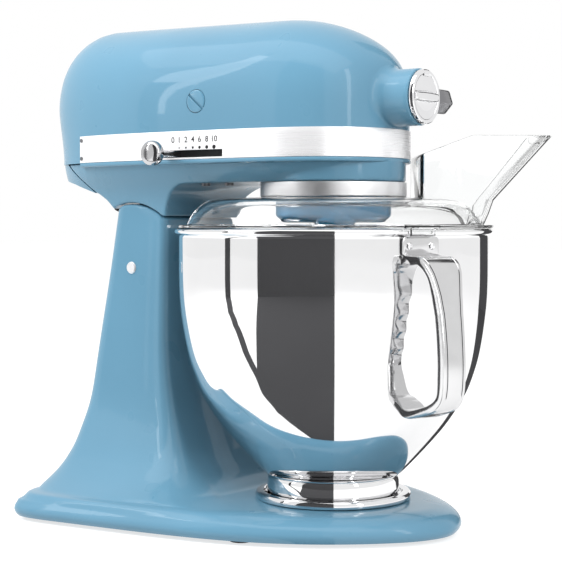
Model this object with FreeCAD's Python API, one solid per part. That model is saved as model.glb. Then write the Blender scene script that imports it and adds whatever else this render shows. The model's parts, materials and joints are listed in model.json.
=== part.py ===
# Tilt-head stand mixer: cast pedestal, tilting motor head, planetary drive,
# speed slide, attachment hub with flip cover, bayonet bowl with handle and a
# clear pouring shield with chute.
# Millimetres, +Z up, +X towards the nose, the speed lever on the -Y side.
# Every solid is drawn about the bowl axis (x = y = 0, z = 0 on the counter) and
# shifted along X on export, so that the origin is the middle of the footprint box.
import FreeCAD, Part
import os, math

V = FreeCAD.Vector

# ---------------------------------------------------------------- driving dimensions
ORIGIN_SHIFT_X = 55.07       # from the bowl axis to the middle of the overall box

# pedestal
BASE_Z0 = 3.0                # underside of the casting, above the counter
BASE_SKIRT_Z = 9.5
PLATFORM_Z = 20.0
CLAMP_Z0, CLAMP_Z1 = 20.5, 25.8
CLAMP_R = 55.2
WALL = 4.0
# column and head hinge
PIN_X, PIN_Z, PIN_R = -151.5, 181.3, 4.5
PIN_CLEAR = 0.05
CHEEK_Y = 15.8               # inner faces of the column's two cheeks
TONGUE_Y = 15.0              # outer faces of the head's hinge tongue
COL_ARC_R = 47.2             # column top, concentric with the pin
HEAD_GAP = 1.1
SEAM_Z = 218.5
# head shell
HEAD_XM, HEAD_XF, HEAD_XR = -100.0, 50.0, -246.0
HEAD_TAIL_N = 2.3
HEAD_W = 64.0
HEAD_Z0 = 259.2
HEAD_ZB = 290.0
HEAD_WALL = 3.2
BAND_Z0, BAND_Z1, BAND_T = 259.4, 279.2, 0.8
# hub and drive
HUB_Z, HUB_R, HUB_X1 = 300.0, 19.4, 71.5
HUB_BORE_R = 12.3
CYL_R = 51.0                 # planetary housing under the nose
CYL_Z0 = 243.2
TRIM_R, TRIM_Z0, TRIM_Z1 = 51.6, 232.8, 243.0
PLAN_R, PLAN_Z0, PLAN_Z1 = 40.8, 215.6, 233.2
RING_T, PIN_T, GEAR_M = 54, 12, 1.25       # internal ring, planet pinion
PLANET_OFF = GEAR_M * (RING_T - PIN_T) / 2  # 26.25
PLANET_AZ = math.atan2(-0.8126, 0.5828)
SPUR_M, SPUR_BIG, SPUR_SMALL = 1.5, 44, 14
WORM_R, WHEEL_R = 6.0, 15.7
WHEEL_Y = 22.0
WHEEL_X = -math.sqrt((SPUR_M * (SPUR_BIG + SPUR_SMALL) / 2) ** 2 - WHEEL_Y ** 2)
BEVEL_R, BEVEL_N = 14.0, 16
SHAFT_R = 6.35
# bowl
BOWL_PROFILE = [(36, 45.0), (40, 49.5), (48, 57.5), (61, 69.5), (74, 80.3), (85, 87.8),
                (96.5, 94.4), (108, 99.0), (119, 102.4), (130, 104.8), (141, 106.6),
                (155, 108.3), (168, 109.1), (188, 109.3), (206, 109.2)]
BOWL_T = 0.9
RIM_Z, RIM_R = 208.6, 111.2
HANDLE_AZ = math.radians(-26.0)
CHUTE_AZ = math.radians(37.0)

parts = {}


# ---------------------------------------------------------------- helpers
def cyl(r, h, p=(0, 0, 0), d=(0, 0, 1), ang=360):
    return Part.makeCylinder(r, h, V(*p), V(*d), ang)


def cone(r1, r2, h, p=(0, 0, 0), d=(0, 0, 1)):
    return Part.makeCone(r1, r2, h, V(*p), V(*d))


def box(x0, x1, y0, y1, z0, z1):
    return Part.makeBox(x1 - x0, y1 - y0, z1 - z0, V(x0, y0, z0))


def tube(ro, ri, h, p=(0, 0, 0), d=(0, 0, 1)):
    return cyl(ro, h, p, d).cut(cyl(ri, h + 2, tuple(p[i] - d[i] for i in range(3)), d))


def poly(pts):
    vs = [V(*p) for p in pts]
    return Part.Face(Part.makePolygon(vs + [vs[0]]))


def spline(pts, closed=False):
    c = Part.BSplineCurve()
    c.interpolate(Points=[V(*p) for p in pts], PeriodicFlag=closed)
    return c.toShape()


def revolve(rz, spl=None):
    """Solid of revolution about the Z axis from a closed (r, z) polygon."""
    f = poly([(r, 0, z) for r, z in rz])
    return f.revolve(V(0, 0, 0), V(0, 0, 1), 360)


def revolve_curve(outer, inner):
    """Thin solid of revolution between two (r, z) splines run in the same direction."""
    eo = spline([(r, 0, z) for r, z in outer])
    ei = spline([(r, 0, z) for r, z in inner])
    l0 = Part.makeLine(V(outer[0][0], 0, outer[0][1]), V(inner[0][0], 0, inner[0][1]))
    l1 = Part.makeLine(V(outer[-1][0], 0, outer[-1][1]), V(inner[-1][0], 0, inner[-1][1]))
    w = Part.Wire(Part.__sortEdges__([eo, l1, ei, l0]))
    return Part.Face(w).revolve(V(0, 0, 0), V(0, 0, 1), 360)


def mirror_y(s):
    return s.mirror(V(0, 0, 0), V(0, 1, 0))


def rot(s, deg, p=(0, 0, 0), d=(0, 0, 1)):
    s = s.copy()
    s.rotate(V(*p), V(*d), deg)
    return s


def move(s, x=0, y=0, z=0):
    s = s.copy()
    s.translate(V(x, y, z))
    return s


def fuse(shapes):
    s = shapes[0]
    if len(shapes) > 1:
        s = s.multiFuse(shapes[1:])
    return s.removeSplitter()


def group(shapes):
    return Part.makeCompound(shapes)


def fillet(s, r, pick):
    es = [e for e in s.Edges if pick(e)]
    if not es:
        print("fillet: no edge")
        return s
    try:
        f = s.makeFillet(r, es)
        if f.isValid() and f.Volume > 0:
            return f
    except Exception as ex:
        pass
    print("fillet failed, left sharp")
    return s


def surface(grid):
    s = Part.BSplineSurface()
    s.interpolate([[V(*p) for p in row] for row in grid])
    return s


def sew_mirrored(faces):
    """Closed solid from faces on the y >= 0 side and their mirror images."""
    sh = Part.makeShell(list(faces) + [mirror_y(f) for f in faces])
    sh.sewShape()
    so = Part.makeSolid(sh)
    if so.Volume < 0:
        so.reverse()
    return so


def join_halves(half):
    """Whole solid from its y >= 0 half: the middle section is dropped and both sides sewn."""
    keep = [f for f in half.Faces
            if not (isinstance(f.Surface, Part.Plane) and abs(f.CenterOfMass.y) < 1e-6 and abs(abs(f.Surface.Axis.y) - 1) < 1e-6)]
    return sew_mirrored(keep)


def put(name, shape):
    parts[name] = shape


# ---------------------------------------------------------------- head form
def head_top(x):
    """Height of the head's crest at a station x."""
    if x < HEAD_XM:
        d = min(1.0, max(0.0, (x - HEAD_XR) / 54.0))
        rear = 307.0 + 55.0 * math.sqrt(max(0.0, 1.0 - (1.0 - d) ** 2))
        return rear - 3.0 * max(0.0, x + 196.0) / 160.0
    if x < -36.0:
        return 362.0 - 3.0 * (x + 196.0) / 160.0
    s = min(1.0, (x + 36.0) / (HEAD_XF + 36.0))
    return 320.5 + 38.5 * (1.0 - s * s) ** 0.70


def head_half_width(x):
    if x <= HEAD_XM:
        c = min(1.0, (HEAD_XM - x) / (HEAD_XM - HEAD_XR))
        return HEAD_W * max(0.0, 1.0 - c ** HEAD_TAIL_N) ** (1 / HEAD_TAIL_N)
    s = min(1.0, (x - HEAD_XM) / (HEAD_XF - HEAD_XM))
    return HEAD_W * math.sqrt(max(0.0, 1.0 - s ** 6))


def head_stations():
    xs = []
    for th in (0, 5, 10, 16, 23, 31, 40, 50, 60, 70, 80, 90):
        xs.append(HEAD_XM - (HEAD_XM - HEAD_XR) * math.cos(math.radians(th)))
    for s in (.12, .24, .36, .47, .57, .66, .74, .81, .865, .91, .944, .968, .985, .9962, 1.0):
        xs.append(HEAD_XM + (HEAD_XF - HEAD_XM) * s)
    return xs


def head_bulge(x, z):
    """The tail leans back a little as it rises."""
    if x >= HEAD_XM:
        return 0.0
    k = ((HEAD_XM - x) / (HEAD_XM - HEAD_XR)) ** 2
    t = min(1.0, max(0.0, (z - 262.0) / 45.0))
    t = t * t * (3 - 2 * t)
    return k * (3.0 - 6.0 * t)


def head_grid(inset, z0):
    """Half of the head (y >= 0): rows along x, columns from the rim up to the crest."""
    rows = []
    kx = (HEAD_XF - HEAD_XR - 2 * inset) / (HEAD_XF - HEAD_XR)
    xc = (HEAD_XF + HEAD_XR) / 2
    for x in head_stations():
        w = head_half_width(x) * (HEAD_W - inset) / HEAD_W
        t = head_top(x) - inset
        row = []
        xx = xc + (x - xc) * kx
        for z in (z0, z0 + 0.33 * (HEAD_ZB - z0), z0 + 0.67 * (HEAD_ZB - z0)):
            row.append((xx + head_bulge(x, z), w, z))
        for ph in (0, 9, 18, 27, 36, 44, 52, 60, 67, 73, 78, 82, 86, 90):
            a = math.radians(ph)
            f = (math.cos(a) ** 2) ** (1 / 1.9) if ph < 90 else 0.0
            q = (math.sin(a) ** 2) ** (1 / 2.9)
            z = HEAD_ZB + (t - HEAD_ZB) * q
            row.append((xx + head_bulge(x, z), w * f, z))
        rows.append(row)
    return rows


def head_solid(inset, z0):
    g = head_grid(inset, z0)
    f = surface(g).toShape()
    eps = 1e-4
    low, mid = [], []
    for e in f.Edges:
        pts = [v.Point for v in e.Vertexes]
        if all(abs(p.z - z0) < 1e-3 for p in pts) and abs(e.valueAt(e.FirstParameter + 0.5 * (e.LastParameter - e.FirstParameter)).z - z0) < 1e-3:
            low.append(e)
        else:
            mid.append(e)
    a = V(g[0][0][0], 0, z0)
    b = V(g[-1][0][0], 0, z0)
    base_line = Part.makeLine(a, b)
    bottom = Part.Face(Part.Wire(Part.__sortEdges__(low + [base_line])))
    return sew_mirrored([f, bottom])


def head_full(inset, z0):
    return head_solid(inset, z0)


def plan_wire(grow, z, x_lo=None):
    """Closed outline of the head at the band, grown by an offset."""
    pts = []
    for x in head_stations():
        w = head_half_width(x)
        pts.append((x + head_bulge(x, 262.0), w))
    # offset along the outline's own normal
    out = []
    n = len(pts)
    for i, (x, y) in enumerate(pts):
        if i == 0:
            nx, ny = -1.0, 0.0
        elif i == n - 1:
            nx, ny = 1.0, 0.0
        else:
            dx = pts[i + 1][0] - pts[i - 1][0]
            dy = pts[i + 1][1] - pts[i - 1][1]
            L = math.hypot(dx, dy)
            nx, ny = -dy / L, dx / L
        out.append((x + nx * grow, y + ny * grow if 0 < i < n - 1 else 0.0))
    ring = out + [(x, -y) for x, y in reversed(out[1:-1])]
    return Part.Wire([spline([(x, y, z) for x, y in ring], closed=True)])


def plan_prism(grow, z0, z1):
    return Part.Face(plan_wire(grow, z0)).extrude(V(0, 0, z1 - z0))


# ---------------------------------------------------------------- pedestal form
BASE_HALF = [(97, 0), (94.5, 14), (87, 30), (74, 46), (58, 61), (39.5, 75), (20, 86.5),
             (0, 95.5), (-20, 102), (-45, 107.8), (-80, 113.4), (-110, 116.8), (-136, 119.4),
             (-162, 121.8), (-181, 123.0), (-194.0, 121.0), (-202.5, 113), (-206.5, 98),
             (-207.5, 66), (-207.5, 32), (-207.5, 0)]
BASE_CUTS = (0, 8, 15, 18, 20)      # nose, flank start, rear corner start, rear face start, end
NF, NS, NC, NR = 10, 9, 5, 5        # points per stretch of the outline


def resample(pts, n):
    d = [0.0]
    for a, b in zip(pts, pts[1:]):
        d.append(d[-1] + math.hypot(b[0] - a[0], b[1] - a[1]))
    out = []
    for i in range(n + 1):
        t = d[-1] * i / n
        j = 0
        while j < len(d) - 2 and d[j + 1] < t:
            j += 1
        k = (t - d[j]) / max(1e-9, d[j + 1] - d[j])
        out.append((pts[j][0] + (pts[j + 1][0] - pts[j][0]) * k,
                    pts[j][1] + (pts[j + 1][1] - pts[j][1]) * k))
    return out


def dense(pts, per=12):
    """Catmull-Rom refinement of a half outline that ends on y = 0 at both ends."""
    p = [(pts[1][0], -pts[1][1])] + list(pts) + [(pts[-2][0], -pts[-2][1])]
    out, marks = [], []
    for i in range(1, len(p) - 2):
        marks.append(len(out))
        for k in range(per):
            t = k / per
            a, b, c, d = p[i - 1], p[i], p[i + 1], p[i + 2]
            out.append(tuple(0.5 * ((2 * b[m]) + (-a[m] + c[m]) * t + (2 * a[m] - 5 * b[m] + 4 * c[m] - d[m]) * t * t
                                    + (-a[m] + 3 * b[m] - 3 * c[m] + d[m]) * t ** 3) for m in (0, 1)))
    marks.append(len(out))
    out.append(tuple(pts[-1]))
    return out, marks


def base_ring(inset):
    pts, marks = dense(BASE_HALF)
    n = len(pts)
    off = []
    for i, (x, y) in enumerate(pts):
        if i == 0:
            nx, ny = 1, 0
        elif i == n - 1:
            nx, ny = -1, 0
        else:
            dx = pts[i + 1][0] - pts[i - 1][0]
            dy = pts[i + 1][1] - pts[i - 1][1]
            L = math.hypot(dx, dy)
            nx, ny = dy / L, -dx / L
        off.append((x - nx * inset, max(0.0, y - ny * inset) if 0 < i < n - 1 else 0.0))
    c = [marks[k] for k in BASE_CUTS]
    half = []
    for (a, b), m in zip(((c[0], c[1]), (c[1], c[2]), (c[2], c[3]), (c[3], c[4])), (NF, NS, NC, NR)):
        half += resample(off[a:b + 1], m)[:-1]
    half.append(off[-1])
    return half


def column_ring(xf, xr, hw, rf, rr, bow=0.0):
    """Rounded-rectangle half section: front face, front corner, flank, rear corner, rear face."""
    def corner(cx, cy, r, a0, a1, n):
        return [(cx + r * math.cos(math.radians(a0 + (a1 - a0) * i / n)),
                 cy + r * math.sin(math.radians(a0 + (a1 - a0) * i / n))) for i in range(n + 1)]
    n1 = NF - 4
    half = [(xf + bow * (1 - (y / (hw - rf)) ** 2), y) for y in [(hw - rf) * i / n1 for i in range(n1)]]
    half += corner(xf - rf, hw - rf, rf, 0, 90, 4)[:-1]
    half += resample([(xf - rf, hw), (xr + rr, hw)], NS)[:-1]
    half += corner(xr + rr, hw - rr, rr, 90, 180, NC)[:-1]
    half += resample([(xr, hw - rr), (xr, 0)], NR)
    return half


#        z     x_front  x_rear  half-w  r_front  r_rear
COLUMN = [(21.8, -56.0, -203.8, 104.0, 34.0, 26.0),
          (25.0, -64.0, -202.6, 97.0, 30.0, 25.0),
          (30.0, -72.0, -201.2, 88.0, 26.0, 23.0),
          (37.5, -80.0, -199.4, 78.0, 21.0, 21.0),
          (48.0, -89.5, -197.4, 68.5, 17.0, 19.0),
          (62.0, -98.5, -195.2, 60.2, 13.0, 16.0),
          (80.0, -107.5, -192.3, 53.0, 10.0, 14.0),
          (103.0, -114.3, -189.4, 48.6, 8.0, 12.0),
          (130.0, -118.2, -186.0, 45.6, 7.0, 11.0),
          (165.0, -119.6, -180.0, 43.4, 6.5, 10.0),
          (200.0, -119.8, -174.0, 42.4, 6.0, 10.0),
          (238.0, -119.8, -167.4, 42.0, 6.0, 10.0)]
BASE_RINGS = [(2.8, BASE_Z0), (0.9, 5.2), (0.0, 8.0), (0.9, 11.2), (3.6, 14.6), (8.2, 17.4),
              (15.0, 19.2), (23.0, 19.9)]


def smooth(t):
    t = min(1.0, max(0.0, t))
    return t * t * (3 - 2 * t)


# 0 along the nose, rising to 1 where the flank runs straight up into the column
FLANK_BLEND = [smooth((i - 6) / 9.0) for i in range(NF + NS + NC + NR + 1)]


def pedestal_rings(shrink=0.0):
    rings = []
    for inset, z in BASE_RINGS:
        full, tight = base_ring(inset), base_ring(min(inset, 2.4 + 0.16 * inset))
        rings.append([(a[0] + (b[0] - a[0]) * w, a[1] + (b[1] - a[1]) * w, z)
                      for a, b, w in zip(full, tight, FLANK_BLEND)])
    last = [(p[0], p[1]) for p in rings[-1]]
    foot = column_ring(*COLUMN[0][1:])
    for k, z in ((0.3, PLATFORM_Z), (0.6, PLATFORM_Z + 0.15), (0.85, PLATFORM_Z + 0.7)):
        rings.append([(a[0] + (b[0] - a[0]) * k, a[1] + (b[1] - a[1]) * k, z) for a, b in zip(last, foot)])
    for z, xf, xr, hw, rf, rr in COLUMN:
        rings.append([(x, y, z) for x, y in column_ring(xf, xr, hw, rf, rr)])
    return rings


def pedestal_half():
    rings = pedestal_rings()
    f = surface(rings).toShape()
    edges = f.Edges
    low, high, mid = [], [], []
    for e in edges:
        zs = [v.Point.z for v in e.Vertexes]
        if max(zs) < BASE_Z0 + 0.01:
            low.append(e)
        elif min(zs) > 237.9:
            high.append(e)
        else:
            mid.append(e)
    a, b = rings[0][0], rings[0][-1]
    c, d = rings[-1][0], rings[-1][-1]
    l0 = Part.makeLine(V(*a), V(*b))
    l1 = Part.makeLine(V(*c), V(*d))
    bottom = Part.Face(Part.Wire(Part.__sortEdges__(low + [l0])))
    top = Part.Face(Part.Wire(Part.__sortEdges__(high + [l1])))
    side = Part.Face(Part.Wire(Part.__sortEdges__(mid + [l0, l1])))
    sh = Part.makeShell([f, bottom, top, side])
    sh.sewShape()
    so = Part.makeSolid(sh)
    if so.Volume < 0:
        so.reverse()
    return so


def arc3(p0, p1, c, up):
    """Arc in the XZ plane about c from p0 to p1; up tells which side of the chord bulges."""
    r = math.hypot(p0[0] - c[0], p0[1] - c[1])
    a0 = math.atan2(p0[1] - c[1], p0[0] - c[0])
    a1 = math.atan2(p1[1] - c[1], p1[0] - c[0])
    am = (a0 + a1) / 2
    m = (c[0] + r * math.cos(am), c[1] + r * math.sin(am))
    return Part.Arc(V(p0[0], 0, p0[1]), V(m[0], 0, m[1]), V(p1[0], 0, p1[1])).toShape()


def profile_xz(edges, y0, y1):
    w = Part.Wire(Part.__sortEdges__(edges))
    f = Part.Face(w)
    f.translate(V(0, y0, 0))
    return f.extrude(V(0, y1 - y0, 0))


def lines_xz(pts):
    return [Part.makeLine(V(a[0], 0, a[1]), V(b[0], 0, b[1])) for a, b in zip(pts, pts[1:])]


def radial(shape, az):
    """Turn a shape drawn in the +X half plane to an azimuth about the bowl axis."""
    return rot(shape, math.degrees(az))


def gear_outline(n, m, slack, add=1.0, ded=1.2, phase=0.0, internal=False):
    """Spur gear outline. slack thins each tooth (mm at the pitch circle)."""
    rp = m * n / 2.0
    if internal:
        # the outline of the hole: spaces bulge outwards
        ra, rf = rp + ded * m, rp - add * m
        half = math.pi / 2 / n + slack / 2 / rp
        k_out, k_in = 0.62, 1.32
    else:
        ra, rf = rp + add * m, rp - ded * m
        half = math.pi / 2 / n - slack / 2 / rp
        k_out, k_in = 0.50, 1.42
    pts = []
    for i in range(n):
        c = phase + 2 * math.pi * i / n
        for ang, r in ((-half * k_in, rf), (-half, rp), (-half * k_out, ra),
                       (half * k_out, ra), (half, rp), (half * k_in, rf)):
            pts.append((r * math.cos(c + ang), r * math.sin(c + ang)))
    return pts


def gear_solid(n, m, z0, z1, slack=0.35, phase=0.0, **k):
    f = poly([(x, y, z0) for x, y in gear_outline(n, m, slack, phase=phase, **k)])
    return f.extrude(V(0, 0, z1 - z0))


def bevel_solid(n, r_big, face, slack, phase, back=5.0):
    """Mitre gear about +Z, apex at the origin, big end below: pitch radius r_big at z = -r_big."""
    m = 2.0 * r_big / n
    big = gear_outline(n, m, slack, add=0.8, ded=1.0, phase=phase)
    k = (r_big - face * math.cos(math.pi / 4)) / r_big
    w0 = Part.makePolygon([V(x, y, -r_big) for x, y in big + [big[0]]])
    w1 = Part.makePolygon([V(x * k, y * k, -r_big * k) for x, y in big + [big[0]]])
    teeth = Part.makeLoft([w0, w1], True, True)
    blank = cone(r_big + 0.75 * m - back * 0.6, r_big - 1.15 * m, back, (0, 0, -r_big - back))
    return fuse([teeth, cyl(r_big - 1.15 * m, back, (0, 0, -r_big - back))])


# ================================================================= stand
def make_stand():
    ped = pedestal_half()
    # head space: everything above the arc about the pin and above the front seam
    top_cut = profile_xz(lines_xz([(PIN_X + math.sqrt(COL_ARC_R ** 2 - (SEAM_Z - PIN_Z) ** 2), SEAM_Z),
                                   (-80, SEAM_Z), (-80, 260), (-230, 260), (-230, PIN_Z), (PIN_X - COL_ARC_R, PIN_Z)])
                         + [arc3((PIN_X - COL_ARC_R, PIN_Z),
                                 (PIN_X + math.sqrt(COL_ARC_R ** 2 - (SEAM_Z - PIN_Z) ** 2), SEAM_Z),
                                 (PIN_X, PIN_Z), True)], -80, 80)
    ped = ped.cut(top_cut)
    # slot between the cheeks, open at the back for the tongue
    ped = ped.cut(box(-200, -128.0, -CHEEK_Y, CHEEK_Y, 172.0, 260))
    ped = ped.cut(box(-171.0, -128.0, -CHEEK_Y, CHEEK_Y, 142.0, 200))
    # hollow base and column
    base_in = Part.Face(Part.Wire([spline([(x, y, BASE_Z0 - 1) for x, y in
                                           (lambda h: h + [(x, -y) for x, y in reversed(h[1:-1])])(base_ring(6.0))],
                                          closed=True)])).extrude(V(0, 0, 12.5))
    rib = fuse([tube(31, 27, 14, (0, 0, BASE_Z0)), box(-200, 92, -2, 2, BASE_Z0, 16), box(-60, -56, -104, 104, BASE_Z0, 16)])
    rib = rib.cut(box(-250, 120, -200, 200, -10, BASE_Z0 + 1.0))
    base_in = base_in.cut(rib)
    rows = []
    for z, xf, xr, hw in ((10, -92, -196, 84), (24, -90, -195, 80), (33, -92, -193.5, 70), (48, -97, -191.5, 60),
                          (62, -105, -189, 53), (80, -113, -186.5, 47.5), (103, -120, -183.5, 43),
                          (130, -124, -180, 40), (148, -125.5, -177.5, 38.8)):
        h = column_ring(xf, xr, hw, 8, 12)
        rows.append(Part.Wire([spline([(x, y, z) for x, y in h + [(a, -b) for a, b in reversed(h[1:-1])]], closed=True)]))
    col_in = Part.makeLoft(rows, True, False)
    ped = ped.cut(base_in).cut(col_in)
    # pin holes, screw holes and a true flat seat under the clamp plate, pads for the feet
    ped = ped.cut(cyl(PIN_R, 100, (PIN_X, -50, PIN_Z), (0, 1, 0)))
    ped = ped.cut(cyl(CLAMP_R + 0.4, 8, (0, 0, CLAMP_Z0)))
    for k in range(4):
        a = math.radians(45 + 90 * k)
        ped = ped.cut(cyl(1.8, 14, (38 * math.cos(a), 38 * math.sin(a), 14)))
    seat = cyl(CLAMP_R - 1.2, CLAMP_Z0 - 18.0, (0, 0, 18.0))
    for k in range(4):
        a = math.radians(45 + 90 * k)
        seat = seat.cut(cyl(1.8, 14, (38 * math.cos(a), 38 * math.sin(a), 14)))
    right = box(-300, 300, 0, 300, -10, 300)
    ped = ped.fuse(seat.common(right))
    feet = ((66, 0), (-20, 82), (-180, 96))
    for x, y in feet:
        ped = ped.fuse(cyl(10.0, 13.0, (x, y, BASE_Z0)).common(right))
    for x, y in feet:
        ped = ped.cut(cyl(3.6, 12, (x, y, 0))).cut(cyl(7.7, 0.5, (x, y, BASE_Z0 - 0.1)))
    ped = join_halves(ped)
    # slot for the lock lever through one cheek
    ped = ped.cut(box(-147.0, -131.0, 10, 60, LOCK_Z - 3.2, LOCK_Z + 3.2))
    put("pedestal_casting", ped)

    plate = cyl(CLAMP_R, CLAMP_Z1 - CLAMP_Z0, (0, 0, CLAMP_Z0))
    plate = fillet(plate, 2.2, lambda e: abs(e.BoundBox.ZMin - CLAMP_Z1) < 1e-6 and abs(e.BoundBox.ZMax - CLAMP_Z1) < 1e-6)
    plate = plate.cut(cyl(49.0, 10, (0, 0, 22.3)))
    for k in range(4):
        a = math.radians(45 + 90 * k)
        plate = plate.cut(cyl(1.8, 10, (38 * math.cos(a), 38 * math.sin(a), 18)))
        plate = plate.cut(cone(1.8, 3.4, 1.4, (38 * math.cos(a), 38 * math.sin(a), 20.9)))
    put("bowl_clamp_plate", plate)
    screws = []
    for k in range(4):
        a = math.radians(45 + 90 * k)
        x, y = 38 * math.cos(a), 38 * math.sin(a)
        s = fuse([cone(1.8, 3.4, 1.4, (x, y, 20.9)), cyl(1.8, 6.0, (x, y, 15.0))])
        s = s.cut(box(x - 2.4, x + 2.4, y - 0.35, y + 0.35, 21.7, 23)).cut(box(x - 0.35, x + 0.35, y - 2.4, y + 2.4, 21.7, 23))
        screws.append(s)
    put("clamp_plate_screws", group(screws))

    put("rubber_feet", group([fuse([cyl(7.5, 3.4, (x, y, 0)), cyl(3.6, 4.0, (x, y, 3.4))]) for x, y in
                              ((66, 0), (-20, 82), (-20, -82), (-180, 96), (-180, -96))]))
    pin = cyl(PIN_R, 2 * 43.9, (PIN_X, -43.9, PIN_Z), (0, 1, 0))
    pin = pin.makeChamfer(0.8, [e for e in pin.Edges if e.Length > 20 and len(e.Vertexes) == 1])
    put("head_hinge_pin", pin)

    # cover plate under the column cavity with its screws
    put("base_cover_plate", box(-186, -100, -64, 64, BASE_Z0, BASE_Z0 + 1.0))


LOCK_Z = 205.0


def make_lock():
    knob = cyl(6.5, 5.0, (-142.2, 44.2, LOCK_Z), (0, 1, 0))
    knob = fillet(knob, 1.6, lambda e: e.BoundBox.YMin > 49)
    lever = fuse([knob, box(-146.7, -137.7, 19.0, 44.4, LOCK_Z - 2.8, LOCK_Z + 2.8)])
    put("lock_lever", lever)
    put("lock_bolt", box(-146.7, -137.7, 16.3, 19.0, LOCK_Z - 2.8, LOCK_Z + 2.8))


# ================================================================= head
def make_head():
    outer = head_full(0.0, HEAD_Z0)
    inner = head_full(HEAD_WALL, HEAD_Z0 - 2)
    shell = outer.cut(inner)
    shell = shell.cut(cyl(HUB_R, 60, (20, 0, HUB_Z), (1, 0, 0)))
    shell = shell.cut(cyl(8.1, 140, (-73, -70, 299.6), (0, 1, 0)))
    shell = shell.cut(box(-102.5, -49.0, -75, -50, SLOT_Z - 2.6, SLOT_Z + 2.6))
    # the back cover takes the tail below a slanting seam
    tail = shell.common(seam_box())
    shell = shell.cut(seam_box())
    shell = max(shell.Solids, key=lambda q: q.Volume)

    # band
    band = plan_prism(BAND_T, BAND_Z0, BAND_Z1).cut(plan_prism(-2.0, BAND_Z0 - 1, BAND_Z1 + 1)).cut(outer)
    band = band.cut(box(-300, -196, -90, 90, 250, 290))
    band = band.cut(box(-102.5, -49.0, -75, -50, SLOT_Z - 2.6, SLOT_Z + 2.6))
    band = group(sorted(band.Solids, key=lambda q: -q.Volume)[:1])
    sc = []
    for s in (-1, 1):
        for z in (262.6, 276.0):
            # two small screws at each end of the band
            x = -190.5
            y = head_half_width(x) + BAND_T - 0.3
            ang = math.radians(61.0)
            n = (-math.cos(ang) * 0.62, s * 0.93, 0)
            L = math.hypot(n[0], n[1])
            sc.append(cyl(1.5, 2.2, (x + n[0] / L * -1.6, s * (y) - n[1] / L * 1.6, z), (n[0] / L, n[1] / L, 0)))
    BANDSC.extend(sc)
    for q in sc:
        shell, band = shell.cut(q), band.cut(q)
    put("motor_housing", shell)
    put("trim_band", band)

    # gearcase: tapering hull under the shell, trimmed by the side profile
    rows = []
    for z, hw, xf, xr in ((HEAD_Z0, 62.6, 48.6, -243.0), (250.0, 57.6, 42.0, -242.6), (243.0, 52.2, 34.0, -242.0),
                          (231.0, 45.6, 30.0, -241.0), (213.0, 42.0, 26.0, -240.0)):
        ring = []
        kx = (xf - xr) / (HEAD_XF - HEAD_XR)
        for x in head_stations():
            xx = xr + (x - HEAD_XR) * kx
            w = head_half_width(x) * hw / HEAD_W
            # the tail is fuller below, where the back cover sits
            ring.append((xx, w))
        pts = ring + [(x, -y) for x, y in reversed(ring[1:-1])]
        rows.append(Part.Wire([spline([(x, y, z) for x, y in pts], closed=True)]))
    hull = Part.makeLoft(rows, True, False)
    R = COL_ARC_R + HEAD_GAP
    zs = SEAM_Z + HEAD_GAP
    ex = PIN_X + math.sqrt(R * R - (zs - PIN_Z) ** 2)
    fx = -171.8
    fz = PIN_Z + math.sqrt(R * R - (fx - PIN_X) ** 2)
    ca = (-91.5, 215.5)
    cr = 27.5
    dx = ca[0] - math.sqrt(cr * cr - (zs - ca[1]) ** 2)
    prof = lines_xz([(60, HEAD_Z0), (60, 243.0), (ca[0], 243.0)])
    prof += [Part.Arc(V(ca[0], 0, 243.0), V(ca[0] + cr * math.cos(math.radians(131)), 0, ca[1] + cr * math.sin(math.radians(131))),
                      V(dx, 0, zs)).toShape()]
    prof += lines_xz([(dx, zs), (ex, zs)])
    prof += [arc3((ex, zs), (fx, fz), (PIN_X, PIN_Z), True)]
    prof += lines_xz([(fx, fz), (-178.0, 231.6), (-185.5, 236.2), (-215, 244.2), (-232, 247.2), (-256, 249.4), (-260, HEAD_Z0), (60, HEAD_Z0)])
    side = profile_xz(prof, -90, 90)
    case = hull.common(side)
    # ledge under the band and the planetary housing
    ledge = plan_prism(BAND_T, 256.0, HEAD_Z0).cut(box(-300, -196, -90, 90, 250, 290))
    case = case.fuse(ledge)
    nose = cyl(CYL_R, HEAD_Z0 - CYL_Z0 - 0.4, (0, 0, CYL_Z0))
    case = case.fuse(nose)
    # hollow
    rows = []
    for z, hw, xf, xr in ((HEAD_Z0 + 1, 58.6, 44.6, -238.6), (250.0, 53.4, 37.0, -236.8), (246.4, 50.0, 33.0, -235.0)):
        ring = []
        kx = (xf - xr) / (HEAD_XF - HEAD_XR)
        for x in head_stations():
            ring.append((xr + (x - HEAD_XR) * kx, head_half_width(x) * hw / HEAD_W))
        pts = ring + [(x, -y) for x, y in reversed(ring[1:-1])]
        rows.append(Part.Wire([spline([(x, y, z) for x, y in pts], closed=True)]))
    inn = Part.makeLoft(rows, True, False)
    inn = inn.cut(box(-300, -205, -90, 90, 240, 270)).fuse(box(-204.5, -100, -38, 38, 243.0, 255)
                                                           ).fuse(box(-180, -122, -34, 34, 233.6, 250))
    inn = inn.fuse(cyl(CYL_R - 4.0, 20, (0, 0, 252.0)))
    case = case.cut(inn)
    # bore for the ring gear and the planetary
    case = case.cut(cyl(44.6, 30, (0, 0, 240)))
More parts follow.
